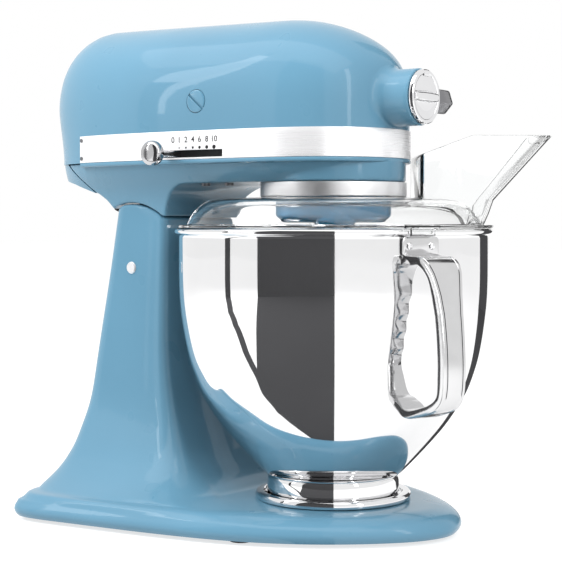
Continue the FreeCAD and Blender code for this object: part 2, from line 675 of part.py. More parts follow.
    # tongue to the hinge pin, with its web up to the case
    tongue = fuse([cyl(17.0, 2 * TONGUE_Y, (PIN_X, -TONGUE_Y, PIN_Z), (0, 1, 0)),
                   profile_xz(lines_xz([(PIN_X - 16.5, PIN_Z + 4), (PIN_X - 15.5, 231.5), (PIN_X + 16, 231.5),
                                        (PIN_X + 16.5, PIN_Z + 4), (PIN_X - 16.5, PIN_Z + 4)]), -TONGUE_Y, TONGUE_Y)])
    tongue = tongue.cut(cyl(PIN_R + PIN_CLEAR, 60, (PIN_X, -30, PIN_Z), (0, 1, 0)))
    case = case.fuse(tongue)
    for x, y in CASE_SCREWS:
        case = case.cut(cyl(1.6, 20, (x, y, 238)))
    # back cover: the tail of the hull below the slanting seam
    cover_lo = case.common(seam_box())
    case = case.cut(seam_box())
    case = max(case.Solids, key=lambda q: q.Volume)
    case = case.cut(cyl(5.6, 14, GLAND, GLAND_D)).cut(cyl(5.6, 14, (GLAND[0] - 9 * GLAND_D[0], GLAND[1], GLAND[2] - 9 * GLAND_D[2]), GLAND_D))
    case = case.cut(cyl(7.2, 1.8, (GLAND[0] - 1.2 * GLAND_D[0], GLAND[1], GLAND[2] - 1.2 * GLAND_D[2]), GLAND_D))
    put("gearcase", case.removeSplitter())
    cover = max(tail.Solids, key=lambda q: q.Volume)
    lo = max(cover_lo.Solids, key=lambda q: q.Volume)
    cover = cover.fuse(lo)
    cover = cover.cut(cyl(1.7, 30, (-262, 0, 262), (1, 0, 0)))
    put("rear_cover", max(cover.Solids, key=lambda q: q.Volume))
    put("rear_cover_screw", fuse([cyl(3.2, 2.4, (-246.4, 0, 262), (1, 0, 0)), cyl(1.7, 10, (-244.8, 0, 262), (1, 0, 0))]))
    put("gearcase_screws", group([fuse([cyl(3.2, 1.9, (x, y, 241.1)), cyl(1.6, 9.0, (x, y, 242.0))])
                                  for x, y in CASE_SCREWS]))


def seam_box():
    return profile_xz(lines_xz([(-300, 205), (-212.0, 205), (-187.6, 236.2), (-247.0, 281.0), (-300, 321), (-300, 205)]), -90, 90)


BANDSC = []
CASE_SCREWS = ((-62, 40), (-62, -40), (-84, 39), (-84, -39))
SLOT_Z = 263.2


# ================================================================= parts inside and on the head
def make_head_fittings():
    # attachment hub sleeve with its bore, and lugs for the flip cover
    sleeve = cyl(HUB_R, HUB_X1 - 40.0, (40.0, 0, HUB_Z), (1, 0, 0))
    sleeve = fillet(sleeve, 1.2, lambda e: abs(e.BoundBox.XMin - HUB_X1) < 1e-6 and abs(e.BoundBox.XMax - HUB_X1) < 1e-6)
    sleeve = sleeve.fuse(cyl(HUB_R - 0.7, 21.2, (19.0, 0, HUB_Z), (1, 0, 0)))
    sleeve = sleeve.cut(cyl(HUB_BORE_R, 40, (55.5, 0, HUB_Z), (1, 0, 0))).cut(cyl(9.6, 40, (43.0, 0, HUB_Z), (1, 0, 0)))
    sleeve = sleeve.cut(cyl(7.0, 60, (0, 0, HUB_Z), (1, 0, 0)))
    sleeve = sleeve.cut(cyl(3.35, 20, (62.0, 10, HUB_Z), (0, 1, 0)))
    lug = box(HUB_X1 - 1.0, COV_X + 1.6, -6.4, -3.6, COV_Z - 1.8, COV_Z + 1.7).fuse(
        box(HUB_X1 - 1.0, COV_X + 1.6, 3.6, 6.4, COV_Z - 1.8, COV_Z + 1.7))
    lug = lug.cut(cyl(1.0, 30, (COV_X, -15, COV_Z), (0, 1, 0)))
    sleeve = sleeve.cut(box(HUB_X1 - 3.4, 80, -12, 12, COV_Z + 1.2, COV_Z + 6).cut(box(HUB_X1 - 4, 80, -6.4, -3.6, COV_Z - 2, COV_Z + 1.7)))
    sleeve = sleeve.cut(cyl(4.4, 20, (COV_X, -10, COV_Z), (0, 1, 0)))
    lug = lug.fuse(box(HUB_X1 - 6.0, HUB_X1 - 0.9, -6.4, -3.6, COV_Z - 3.0, COV_Z + 1.7)).fuse(
        box(HUB_X1 - 6.0, HUB_X1 - 0.9, 3.6, 6.4, COV_Z - 3.0, COV_Z + 1.7))
    sleeve = sleeve.fuse(lug)
    put("attachment_hub_sleeve", sleeve.removeSplitter())
    put("hub_cover_pin", cyl(1.0, 12.8, (COV_X, -6.4, COV_Z), (0, 1, 0)))

    # brush caps, holders and carbon brushes
    caps, holders, brushes = [], [], []
    for s in (-1, 1):
        c = cyl(8.0, 5.2, (-73, s * 59.2, 299.6), (0, s, 0))
        c = fillet(c, 0.8, lambda e: (e.BoundBox.YMin > 64.3 if s > 0 else e.BoundBox.YMax < -64.3))
        c = c.fuse(cyl(6.2, 9.0, (-73, s * 50.5, 299.6), (0, s, 0)))
        slot = box(-6.4, 6.4, -3, 1.3, -0.9, 0.9)
        slot.rotate(V(0, 0, 0), V(0, 1, 0), -s * 40)
        slot = slot if s > 0 else slot.mirror(V(0, 0, 0), V(0, 1, 0))
        slot.translate(V(-73, s * 64.4, 299.6))
        caps.append(c.cut(slot))
        h = tube(7.6, 6.25, 30.0, (-73, s * 24.0, 299.6), (0, s, 0)).fuse(
            box(-82, -64, min(s * 24, s * 27), max(s * 24, s * 27), 290.6, 308.6).cut(cyl(4.6, 80, (-73, -40, 299.6), (0, 1, 0))))
        holders.append(h)
        brushes.append(box(-75.6, -70.4, min(s * 11.4, s * 46), max(s * 11.4, s * 46), 296.8, 302.4))
    put("brush_caps", group(caps))
    put("brush_holders", group(holders))
    put("carbon_brushes", group(brushes))

    # motor
    lam = cyl(46.0, 49, (-152, 0, 300), (1, 0, 0)).cut(box(-160, -100, -60, 60, 340, 360)).cut(box(-160, -100, -60, 60, 240, 262.5))
    bore = fuse([cyl(24.8, 60, (-157, 0, 300), (1, 0, 0)), box(-157, -97, -32, 32, 282, 318).common(cyl(38, 60, (-157, 0, 300), (1, 0, 0)))])
    put("motor_stator", lam.cut(bore))
    wind = []
    for s in (-1, 1):
        w = box(-160, -95, min(s * 25.6, s * 31.6), max(s * 25.6, s * 31.6), 282.4, 317.6)
        w = fillet(w, 2.5, lambda e: True)
        wind.append(w)
    put("stator_windings", group(wind))
    br = cyl(37.0, 4, (-221, 0, 300), (1, 0, 0)).cut(box(-230, -210, -60, 60, 240, 268)).fuse(cyl(14, 10, (-221, 0, 300), (1, 0, 0)))
    for k in range(6):
        a = math.radians(60 * k)
        br = br.cut(cyl(6.5, 20, (-228, 26 * math.cos(a), 300 + 26 * math.sin(a)), (1, 0, 0)))
    put("rear_bearing_bracket", br.cut(cyl(9.0, 30, (-230, 0, 300), (1, 0, 0))))
    put("armature_bearings", group([tube(9.0, 4.25, 7, (-219.5, 0, 300), (1, 0, 0)), tube(11.0, 4.25, 6, (-59.5, 0, 300), (1, 0, 0))]))
    wall = box(-61, -55, -50, 50, 262, 338).cut(cyl(11.0, 20, (-70, 0, 300), (1, 0, 0)))
    wall = wall.cut(box(-63, -53, -60, -20, 310, 345)).cut(box(-63, -53, 20, 60, 310, 345))
    put("motor_bulkhead", wall)
    board = box(-211, -209, -30, 30, 262, 340).cut(cyl(15, 10, (-214, 0, 300), (1, 0, 0)))
    put("speed_control_board", board.cut(box(-215, -205, -40, 40, 330, 345)))

    # trim ring, ring gear and bearings of the planetary drive
    ring = cyl(TRIM_R, TRIM_Z1 - TRIM_Z0, (0, 0, TRIM_Z0))
    ring = fillet(ring, 1.0, lambda e: abs(e.BoundBox.ZMin - TRIM_Z0) < 1e-6 and abs(e.BoundBox.ZMax - TRIM_Z0) < 1e-6)
    put("planetary_trim_ring", ring.cut(cyl(43.6, 20, (0, 0, TRIM_Z0 - 1))))
    hole = poly([(x, y, 242.0) for x, y in gear_outline(RING_T, GEAR_M, 0.45, internal=True, phase=PLANET_AZ)]).extrude(V(0, 0, 12))
    put("ring_gear", cyl(44.6, 7.5, (0, 0, 244.0)).cut(hole))
    plate = cyl(44.6, 3.5, (0, 0, 253.2)).fuse(cyl(11.5, 5.0, (0, 0, 253.2)))
    plate = plate.cut(cyl(8.5, 30, (0, 0, 245))).cut(cyl(6.6, 12, (WHEEL_X, WHEEL_Y, 250)))
    put("bearing_plate", plate)
    put("drive_bushes", group([tube(8.5, SHAFT_R + 0.05, 6.0, (0, 0, 252.6)), tube(6.6, 4.05, 3.5, (WHEEL_X, WHEEL_Y, 253.2))]))
    put("hub_bearing", tube(7.0, 5.05, 18.0, (22.0, 0, HUB_Z), (1, 0, 0)))
    gx, gy, gz = GLAND
    gl = tube(5.6, 3.0, 11.0, GLAND, GLAND_D)
    gl = gl.fuse(tube(7.2, 3.0, 1.8, (gx - 1.2 * GLAND_D[0], gy, gz - 1.2 * GLAND_D[2]), GLAND_D))
    put("cord_gland", gl)


COV_X, COV_Z = HUB_X1 + 2.3, HUB_Z + 15.4
# middle of the cord gland on the sloping underside behind the column, and its inward axis
GLAND = (-177.4, -23.0, 231.2)
GLAND_D = (0.42, 0.0, 0.9075)


def make_drive():
    # armature
    sh = fuse([cyl(4.2, 200, (-222, 0, 300), (1, 0, 0)), cyl(4.6, 34, (-53, 0, 300), (1, 0, 0))])
    worm = [sh]
    for k in range(6):
        x = -52.5 + 5.027 * k
        worm.append(cone(4.4, WORM_R, 0.9, (x, 0, 300), (1, 0, 0)).fuse(cyl(WORM_R, 1.0, (x + 0.9, 0, 300), (1, 0, 0))).fuse(
            cone(WORM_R, 4.4, 0.9, (x + 1.9, 0, 300), (1, 0, 0))))
    put("armature_worm_shaft", fuse(worm))
    core = tube(24.0, 4.2, 47, (-151, 0, 300), (1, 0, 0))
    for k in range(12):
        a = math.radians(30 * k + 15)
        core = core.cut(rot(box(-155, -100, -1.4, 1.4, 17.0, 30), math.degrees(a), (0, 0, 0), (1, 0, 0)).translated(V(0, 0, 300)))
    put("armature_core", core)
    put("armature_windings", group([tube(21.0, 4.2, 9, (-160, 0, 300), (1, 0, 0)), tube(21.0, 4.2, 9, (-104, 0, 300), (1, 0, 0))]))
    com = tube(11.0, 4.2, 17, (-82, 0, 300), (1, 0, 0))
    for k in range(12):
        com = com.cut(rot(box(-83, -64, -0.3, 0.3, 9.6, 12), 30 * k + 15, (0, 0, 0), (1, 0, 0)).translated(V(0, 0, 300)))
    put("commutator", com)
    fan = tube(10.0, 4.2, 12, (-186, 0, 300), (1, 0, 0)).fuse(tube(34, 10.0, 1.6, (-186, 0, 300), (1, 0, 0)))
    for k in range(9):
        b = box(-185, -174, -0.8, 0.8, 9, 33)
        b.rotate(V(-180, 0, 0), V(0, 0, 1), 18)
        b.rotate(V(0, 0, 0), V(1, 0, 0), 40 * k)
        b.translate(V(0, 0, 300))
        fan = fan.fuse(b)
    put("cooling_fan", fan)

    # worm wheel shaft: wheel above, spur pinion below
    n = 20
    pts = []
    for i in range(n):
        c = 2 * math.pi * i / n
        for a, r in ((-0.10, WHEEL_R - 2.6), (-0.045, WHEEL_R), (0.045, WHEEL_R), (0.10, WHEEL_R - 2.6)):
            pts.append((WHEEL_X + r * math.cos(c + a), WHEEL_Y + r * math.sin(c + a), 295.5))
    wheel = poly(pts).extrude(V(0, 0, 9)).cut(cyl(4.0, 30, (WHEEL_X, WHEEL_Y, 290)))
    put("worm_wheel", wheel)
    ph = math.atan2(-WHEEL_Y, -WHEEL_X)
    pin = move(gear_solid(SPUR_SMALL, SPUR_M, 261.6, 269.6, 0.5, phase=ph + math.pi / SPUR_SMALL), WHEEL_X, WHEEL_Y)
    put("drive_pinion", pin.cut(cyl(4.0, 30, (WHEEL_X, WHEEL_Y, 250))))
    put("wheel_shaft", cyl(4.0, 57.1, (WHEEL_X, WHEEL_Y, 251.9)))

    # centre shaft with its gears, and the planetary it carries
    put("center_shaft", fuse([cyl(SHAFT_R, 57.0, (0, 0, 229.0)), cyl(4.5, 4.0, (0, 0, 286.0))]))
    big = gear_solid(SPUR_BIG, SPUR_M, 262.0, 269.0, 0.5, phase=ph + math.pi)
    for k in range(6):
        big = big.cut(cyl(6.0, 20, (21.0 * math.cos(math.radians(60 * k)), 21.0 * math.sin(math.radians(60 * k)), 255)))
    put("center_spur_gear", big.fuse(cyl(11, 8.6, (0, 0, 261.6))).cut(cyl(SHAFT_R, 30, (0, 0, 250))))
    bev = bevel_solid(BEVEL_N, BEVEL_R, 6.0, 0.55, 0.0)
    bev.translate(V(0, 0, HUB_Z))
    put("center_bevel_gear", bev.cut(cyl(SHAFT_R, 14.0, (0, 0, 272.0))).cut(cyl(4.5, 30, (0, 0, 280))))
    cup = cyl(PLAN_R, PLAN_Z1 - PLAN_Z0, (0, 0, PLAN_Z0))
    cup = fillet(cup, 7.5, lambda e: abs(e.BoundBox.ZMin - PLAN_Z0) < 1e-6 and abs(e.BoundBox.ZMax - PLAN_Z0) < 1e-6)
    cup = cup.cut(cyl(PLAN_R - 3.5, 9.0, (0, 0, PLAN_Z1 - 9.0)))
    px, py = PLANET_OFF * math.cos(PLANET_AZ), PLANET_OFF * math.sin(PLANET_AZ)
    cup = cup.fuse(cyl(14.0, 12.0, (0, 0, PLAN_Z0 + 2))).fuse(cyl(11.5, 24.0, (px, py, PLAN_Z0 + 2)).common(cyl(PLAN_R - 1, 60, (0, 0, 200))))
    cup = cup.fuse(cone(12.2, 15.2, 4.2, (px, py, PLAN_Z0 - 4.0)).common(cyl(PLAN_R - 0.2, 60, (0, 0, 200))))
    cup = cup.cut(cyl(SHAFT_R, 20, (0, 0, 229.0))).cut(cyl(SHAFT_R + 0.05, 60, (px, py, 200)))
    put("planetary_carrier", cup.removeSplitter())

    # beater shaft
    bs = fuse([cone(SHAFT_R - 1.2, SHAFT_R, 1.2, (px, py, 168.0)), cyl(SHAFT_R, 10.8, (px, py, 169.2)),
               cyl(SHAFT_R - 0.6, 4.4, (px, py, 179.8)), cyl(SHAFT_R, 59.7, (px, py, 184.2)),
               cyl(SHAFT_R - 0.85, 8.4, (px, py, 243.9))])
    put("beater_shaft", bs.cut(cyl(1.7, 30, (px - 15, py, 182.0), (1, 0, 0))))
    put("beater_drive_pin", cyl(1.7, 21.0, (px - 10.5, py, 182.0), (1, 0, 0)))
    pp = move(gear_solid(PIN_T, GEAR_M, 244.4, 251.1, 0.30, add=1.0, ded=1.1, phase=PLANET_AZ), px, py)
    put("planet_pinion", pp.cut(cyl(SHAFT_R - 0.85, 30, (px, py, 240))))

    # hub drive
    hb = bevel_solid(BEVEL_N, BEVEL_R, 6.0, 0.55, math.pi / BEVEL_N, back=4.0)
    hb.rotate(V(0, 0, 0), V(0, 1, 0), -90)
    hb.translate(V(0, 0, HUB_Z))
    put("hub_bevel_gear", hb.cut(cyl(5.0, 30, (12.5, 0, HUB_Z), (1, 0, 0))).cut(cyl(3.5, 30, (0, 0, HUB_Z), (1, 0, 0))))
    hs = fuse([cyl(5.0, 32.0, (12.5, 0, HUB_Z), (1, 0, 0)), cyl(9.0, 8.0, (47.0, 0, HUB_Z), (1, 0, 0)), cyl(5.0, 4, (43.5, 0, HUB_Z), (1, 0, 0))])
    hs = hs.cut(box(46.5, 60, -4.2, 4.2, HUB_Z - 4.2, HUB_Z + 4.2))
    put("hub_drive_socket", hs)


def make_controls():
    # speed slide: plate behind the slot, stem, tapered lever and round knob
    lever = fuse([box(-99.4, -90.6, -67.2, -54.0, SLOT_Z - 2.2, SLOT_Z + 2.2)])
    w0 = Part.makePolygon([V(-99.4, -66.6, SLOT_Z - 2.2), V(-90.6, -66.6, SLOT_Z - 2.2), V(-90.6, -66.6, SLOT_Z + 2.2),
                           V(-99.4, -66.6, SLOT_Z + 2.2), V(-99.4, -66.6, SLOT_Z - 2.2)])
    w1 = Part.makePolygon([V(-97.6, -80, SLOT_Z - 2.6), V(-92.4, -80, SLOT_Z - 2.6), V(-92.4, -80, SLOT_Z + 2.6),
                           V(-97.6, -80, SLOT_Z + 2.6), V(-97.6, -80, SLOT_Z - 2.6)])
    lever = lever.fuse(Part.makeLoft([w0, w1], True, True)).removeSplitter()
    put("speed_lever", lever.cut(cyl(2.2, 8, (-95, -81, SLOT_Z), (0, 1, 0))))
    knob = cyl(8.8, 9.6, (-95, -89.6, SLOT_Z), (0, 1, 0))
    knob = fillet(knob, 3.2, lambda e: e.BoundBox.YMax < -89.5)
    put("speed_knob", knob.fuse(cyl(2.2, 6.5, (-95, -80, SLOT_Z), (0, 1, 0))))
    put("speed_link", fuse([box(-99.4, -60.0, -53.9, -51.9, SLOT_Z - 1.6, SLOT_Z + 4.2)]))

    # hub cover and attachment knob
    cov = cyl(18.6, 3.9, (HUB_X1 + 0.35, 0, HUB_Z), (1, 0, 0))
    cov = fillet(cov, 1.4, lambda e: e.BoundBox.XMin > HUB_X1 + 4.2)
    cov = cov.cut(cyl(15.2, 5, (HUB_X1 + 3.45, 0, HUB_Z), (1, 0, 0)))
    cov = cov.fuse(box(HUB_X1 + 3.0, HUB_X1 + 5.4, -14.2, 14.2, HUB_Z - 3.0, HUB_Z + 3.0))
    cov = cov.cut(box(HUB_X1, HUB_X1 + 5.0, -6.8, -3.2, COV_Z - 2.5, COV_Z + 8)).cut(
        box(HUB_X1, HUB_X1 + 5.0, 3.2, 6.8, COV_Z - 2.5, COV_Z + 8))
    cov = cov.fuse(cyl(2.0, 6.4, (COV_X, -3.2, COV_Z), (0, 1, 0)))
    cov = cov.cut(cyl(1.05, 30, (COV_X, -15, COV_Z), (0, 1, 0)))
    put("hub_cover", max(cov.removeSplitter().Solids, key=lambda q: q.Volume))
    k = cyl(3.3, 17.0, (62.0, 13.0, HUB_Z), (0, 1, 0)).fuse(cyl(5.4, 6.0, (62.0, 21.0, HUB_Z), (0, 1, 0)))
    put("attachment_screw", k)
    g = cone(6.4, 9.6, 6.0, (62, 27.0, HUB_Z), (0, 1, 0)).fuse(cyl(9.6, 10.0, (62, 33.0, HUB_Z), (0, 1, 0))).fuse(
        cone(9.6, 8.4, 2.4, (62, 43.0, HUB_Z), (0, 1, 0)))
    for i in range(6):
        a = 2 * math.pi * (i + 0.5) / 6
        g = g.cut(cyl(3.4, 24, (62 + 11.3 * math.cos(a), 26.0, HUB_Z + 11.3 * math.sin(a)), (0, 1, 0)))
    put("attachment_knob", g.cut(cyl(3.3, 8, (62, 22, HUB_Z), (0, 1, 0))))


# ================================================================= bowl and shield
def make_bowl():
    out = [(r, z) for z, r in BOWL_PROFILE]
    inner = [(r - BOWL_T * (1.15 if z > 60 else 1.35), z + (0.0 if z > 60 else 0.4)) for r, z in out]
    wall = revolve_curve(out, inner)
    floor = revolve([(0, 34.6), (44.0, 34.6), (45.0, 36.0), (inner[0][0], inner[0][1]), (0, 36.0)])
    rim = Part.makeTorus(RIM_R - 1.1, 2.1, V(0, 0, RIM_Z + 0.2), V(0, 0, 1))
    rim = rim.cut(cyl(108.2, 8, (0, 0, 204)))
    bowl = wall.fuse(floor).fuse(rim)
    put("bowl", bowl.removeSplitter())
    foot = revolve([(44.9, 22.6), (46.8, 22.6), (46.8, 36.2), (45.9, 37.8), (44.9, 34.3)])
    for k in range(4):
        a = 90 * k + 20
        foot = foot.fuse(rot(box(45.5, 48.6, -8, 8, 23.4, 24.8).common(cyl(48.5, 10, (0, 0, 20))), a))
    foot = foot.fuse(tube(46.0, 40.0, 1.2, (0, 0, 22.6))).removeSplitter()
    put("bowl_foot", foot.cut(revolve_solid_bowl()))

    # handle: riveted plate, wide strap narrowing to the grip, finger scallops inside the grip
    outer = [(109.6, 196.4), (113.0, 194.4), (120.0, 193.8), (128.6, 193.2), (135.2, 189.6), (139.2, 184.8), (141.6, 179.0),
             (143.9, 171.0), (147.2, 154.5), (149.3, 137.0), (150.0, 124.0), (149.4, 111.5), (147.3, 104.0),
             (142.2, 98.4), (135.0, 95.0), (128.0, 92.9), (118.0, 90.2), (110.0, 88.9), (103.0, 89.6), (97.4, 92.4), (92.2, 95.0)]
    innr = [(93.6, 99.4), (98.6, 97.6), (104.2, 94.6), (110.0, 93.9), (117.0, 95.2), (127.0, 98.0), (133.4, 100.0), (138.6, 103.2),
            (141.8, 107.6), (143.0, 112.0), (140.6, 118.0), (144.2, 125.6), (140.4, 133.6), (143.0, 141.6), (139.2, 149.6),
            (141.0, 157.6), (136.8, 165.4), (138.2, 173.4), (136.4, 180.0), (133.2, 184.8), (127.0, 188.2), (119.0, 188.9), (112.4, 189.4), (108.6, 191.2)]
    eo = spline([(r, 0, z) for r, z in outer])
    ei = spline([(r, 0, z) for r, z in innr])
    l0 = Part.makeLine(V(outer[-1][0], 0, outer[-1][1]), V(innr[0][0], 0, innr[0][1]))
    l1 = Part.makeLine(V(innr[-1][0], 0, innr[-1][1]), V(outer[0][0], 0, outer[0][1]))
    f = Part.Face(Part.Wire(Part.__sortEdges__([eo, l0, ei, l1])))
    f.translate(V(0, -20, 0))
    h = f.extrude(V(0, 40, 0))
    wz = [(13.6, 200), (13.6, 192), (13.0, 187), (11.4, 179), (9.9, 170), (8.9, 158), (8.6, 140), (8.5, 115), (8.5, 101), (9.0, 95), (9.6, 80)]
    w = spline([(60, y, z) for y, z in wz])
    w2 = spline([(60, -y, z) for y, z in wz])
    fw = Part.Face(Part.Wire(Part.__sortEdges__([w, Part.makeLine(V(60, wz[0][0], wz[0][1]), V(60, -wz[0][0], wz[0][1])), w2,
                                                 Part.makeLine(V(60, wz[-1][0], wz[-1][1]), V(60, -wz[-1][0], wz[-1][1]))])))
    h = h.common(fw.extrude(V(110, 0, 0)))
    pl = box(104.0, 111.4, -14.0, 14.0, 192.6, 206.2)
    pl = fillet(pl, 3.0, lambda e: abs(e.BoundBox.XLength - 7.4) < 1e-6)
    h = h.fuse(pl)
    h = radial(h, HANDLE_AZ)
    outside = revolve_solid_bowl()
    h = h.cut(outside)
    h = max(h.Solids, key=lambda q: q.Volume)
    put("bowl_handle", h)
    riv = []
    for y in (-8.6, 8.6):
        riv.append(Part.makeSphere(2.4, V(110.8, y, 200.0)).common(box(111.4, 116, y - 4, y + 4, 190, 206)))
    put("handle_rivets", group([radial(r, HANDLE_AZ) for r in riv]))


HANDLE_W = 23.0


def revolve_solid_bowl():
    pts = [(r, z) for z, r in BOWL_PROFILE]
    e = spline([(r, 0, z) for r, z in pts])
    top, bot = pts[-1], pts[0]
    ls = lines_xz([(top[0], top[1]), (top[0], 214), (0, 214), (0, bot[1]), (bot[0], bot[1])])
    f = Part.Face(Part.Wire(Part.__sortEdges__([e] + ls)))
    s = f.revolve(V(0, 0, 0), V(0, 0, 1), 360)
    return s.fuse(cyl(111.7, 6.2, (0, 0, 206.3)))


def make_shield():
    out = [(104.5, 212.2), (102.6, 216.5), (99.6, 221.8), (95.0, 226.6), (88.0, 230.0), (78.0, 231.6), (66.0, 232.2), (54.5, 232.3)]
    inn = [(r - 1.9 * k, z - 1.9 * j) for (r, z), k, j in zip(out, (1, 1, .95, .7, .35, .1, 0, 0), (0, .2, .4, .75, .95, 1, 1, 1))]
    dome = revolve_curve(out, inn)
    flange = tube(112.0, 102.5, 2.0, (0, 0, 211.3))
    collar = tube(54.8, 52.6, 4.6, (0, 0, 227.8))
    s = dome.fuse(flange).fuse(collar)
    # hooked tab over the handle, end tabs on the arms
    tab = radial(box(109.0, 114.5, -13, 13, 211.3, 213.3).fuse(box(112.7, 114.5, -9, 9, 206.6, 212)), HANDLE_AZ)
    s = s.fuse(tab)
    for sgn in (-1, 1):
        arm = box(106.0, 117.5, -7, 7, 211.3, 213.3)
        s = s.fuse(radial(arm, math.radians(sgn * 139.0)))
    # rear gap so that it slides off forward past the planetary
    gap = poly([(0, -53.4, 180), (-44, -54.5, 180), (-130, -83, 180), (-130, 83, 180), (-44, 54.5, 180), (0, 53.4, 180)]).extrude(V(0, 0, 100))
    s = s.cut(gap)
    # chute
    outp = [(57.8, 230.6), (57.8, 261.5), (94.0, 275.0), (149.0, 275.0), (108.4, 230.2), (105.2, 221.0), (101.5, 212.6), (97.0, 212.6), (90, 224)]
    inp = [(60.0, 200.0), (60.0, 300.0), (169.3, 300.0), (106.0, 231.0), (102.4, 221.2), (98.6, 212.0), (95.0, 200.0)]
    co = profile_xz(lines_xz(outp + [outp[0]]), -33.0, 33.0)
    ci = profile_xz(lines_xz(inp + [inp[0]]), -31.0, 31.0)
    co, ci = radial(co, CHUTE_AZ), radial(ci, CHUTE_AZ)
    hole = ci.common(cyl(104.0, 60, (0, 0, 214.2)))
    s = s.cut(hole)
    ring_room = cyl(57.4, 60, (0, 0, 200))
    s = s.fuse(co.cut(ci).cut(ring_room))
    put("pouring_shield", max(s.removeSplitter().Solids, key=lambda q: q.Volume))


def main():
    make_stand()
    make_lock()
    make_head()
    make_head_fittings()
    make_drive()
    make_controls()
    make_bowl()
    make_shield()
    put("band_screws", group(BANDSC))
    os.makedirs("parts", exist_ok=True)
    lo, hi = [1e9] * 3, [-1e9] * 3
    for name, shape in parts.items():
        s = shape.copy()
        s.translate(V(ORIGIN_SHIFT_X, 0, 0))
        if not s.isValid() or s.Volume <= 0:
            print("CHECK SHAPE", name, s.isValid(), s.Volume)
        s.exportStep("parts/%s.step" % name)
        b = s.optimalBoundingBox(False)
        lo = [min(lo[0], b.XMin), min(lo[1], b.YMin), min(lo[2], b.ZMin)]
        hi = [max(hi[0], b.XMax), max(hi[1], b.YMax), max(hi[2], b.ZMax)]
    print("box", [round(v, 3) for v in lo + hi], "centre", [round((a + b) / 2, 3) for a, b in zip(lo, hi)])
    print(len(parts), "nodes written")


if __name__ == "__main__":
    main()
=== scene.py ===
import json
import math

import bmesh
import bpy
import numpy as np
from mathutils import Vector, Matrix


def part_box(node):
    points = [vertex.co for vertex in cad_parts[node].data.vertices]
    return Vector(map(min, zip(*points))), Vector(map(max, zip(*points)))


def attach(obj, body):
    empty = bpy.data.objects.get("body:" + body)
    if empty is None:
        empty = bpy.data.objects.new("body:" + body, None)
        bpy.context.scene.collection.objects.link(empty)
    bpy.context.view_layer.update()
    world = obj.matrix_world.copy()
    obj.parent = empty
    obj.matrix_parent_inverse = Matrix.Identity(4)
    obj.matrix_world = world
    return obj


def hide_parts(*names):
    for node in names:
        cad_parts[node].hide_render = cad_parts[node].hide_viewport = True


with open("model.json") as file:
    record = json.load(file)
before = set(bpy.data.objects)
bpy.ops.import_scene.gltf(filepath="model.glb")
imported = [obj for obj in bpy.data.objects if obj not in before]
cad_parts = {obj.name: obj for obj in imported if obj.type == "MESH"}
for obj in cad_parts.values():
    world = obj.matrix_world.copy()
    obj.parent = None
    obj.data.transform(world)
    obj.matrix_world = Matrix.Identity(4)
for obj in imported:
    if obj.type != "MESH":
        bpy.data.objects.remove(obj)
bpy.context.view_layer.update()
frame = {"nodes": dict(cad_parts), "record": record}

scene = bpy.context.scene
NODES = frame["nodes"]

# the bowl's axis stands at x = S in the row frame; the forms below are drawn about it, in millimetres
_lo, _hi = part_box("bowl_clamp_plate")
S = (_lo[0] + _hi[0]) / 2 * 1000.0


def W(p):
    return ((p[0] + S) / 1000.0, p[1] / 1000.0, p[2] / 1000.0)


# ------------------------------------------------------------------ mesh helpers
def make_obj(name, verts, faces, mm=True):
    me = bpy.data.meshes.new(name)
    me.from_pydata([W(v) for v in verts] if mm else verts, [], faces)
    me.validate()
    o = bpy.data.objects.new(name, me)
    scene.collection.objects.link(o)
    return o


def clean(o, dist=0.00001, normals=True):
    bm = bmesh.new()
    bm.from_mesh(o.data)
    bmesh.ops.remove_doubles(bm, verts=bm.verts, dist=dist)
    bmesh.ops.dissolve_degenerate(bm, edges=bm.edges, dist=dist * 0.5)
    if normals:
        bmesh.ops.recalc_face_normals(bm, faces=bm.faces)
    bm.to_mesh(o.data)
    bm.free()
    return o


def smooth(o, angle=35.0):
    bm = bmesh.new()
    bm.from_mesh(o.data)
    lim = math.radians(angle)
    for f in bm.faces:
        f.smooth = True
    for e in bm.edges:
        e.smooth = not (len(e.link_faces) == 2 and e.calc_face_angle(0.0) > lim) and len(e.link_faces) == 2
    bm.to_mesh(o.data)
    bm.free()
    return o


def bake_mods(o):
    bpy.context.view_layer.update()
    dg = bpy.context.evaluated_depsgraph_get()
    me = bpy.data.meshes.new_from_object(o.evaluated_get(dg), preserve_all_data_layers=True, depsgraph=dg)
    old = o.data
    o.modifiers.clear()
    o.data = me
    bpy.data.meshes.remove(old)
    return o


def boolean(o, tool, op="DIFFERENCE", keep=False):
    m = o.modifiers.new("b", "BOOLEAN")
    m.object = tool
    m.operation = op
    m.solver = "EXACT"
    bake_mods(o)
    if not keep:
        drop(tool)
    return o


def drop(o):
    me = o.data
    bpy.data.objects.remove(o)
    if me.users == 0:
        bpy.data.meshes.remove(me)


def bevel(o, width_mm, segs=2, angle=40):
    m = o.modifiers.new("bev", "BEVEL")
    m.width = width_mm / 1000.0
    m.segments = segs
    m.limit_method = "ANGLE"
    m.angle_limit = math.radians(angle)
    m.harden_normals = False
    return bake_mods(o)


def remesh(o, voxel_mm, rounds=8, factor=0.5):
    m = o.modifiers.new("rm", "REMESH")
    m.mode = "VOXEL"
    m.voxel_size = voxel_mm / 1000.0
    m.adaptivity = 0.0
    m.use_smooth_shade = True
    if rounds:
        s = o.modifiers.new("sm", "SMOOTH")
        s.factor = factor
        s.iterations = rounds
    return bake_mods(o)


def box(name, x0, x1, y0, y1, z0, z1):
    v = [(x, y, z) for z in (z0, z1) for y in (y0, y1) for x in (x0, x1)]
    f = [(0, 2, 3, 1), (4, 5, 7, 6), (0, 1, 5, 4), (2, 6, 7, 3), (0, 4, 6, 2), (1, 3, 7, 5)]
    return make_obj(name, v, f)


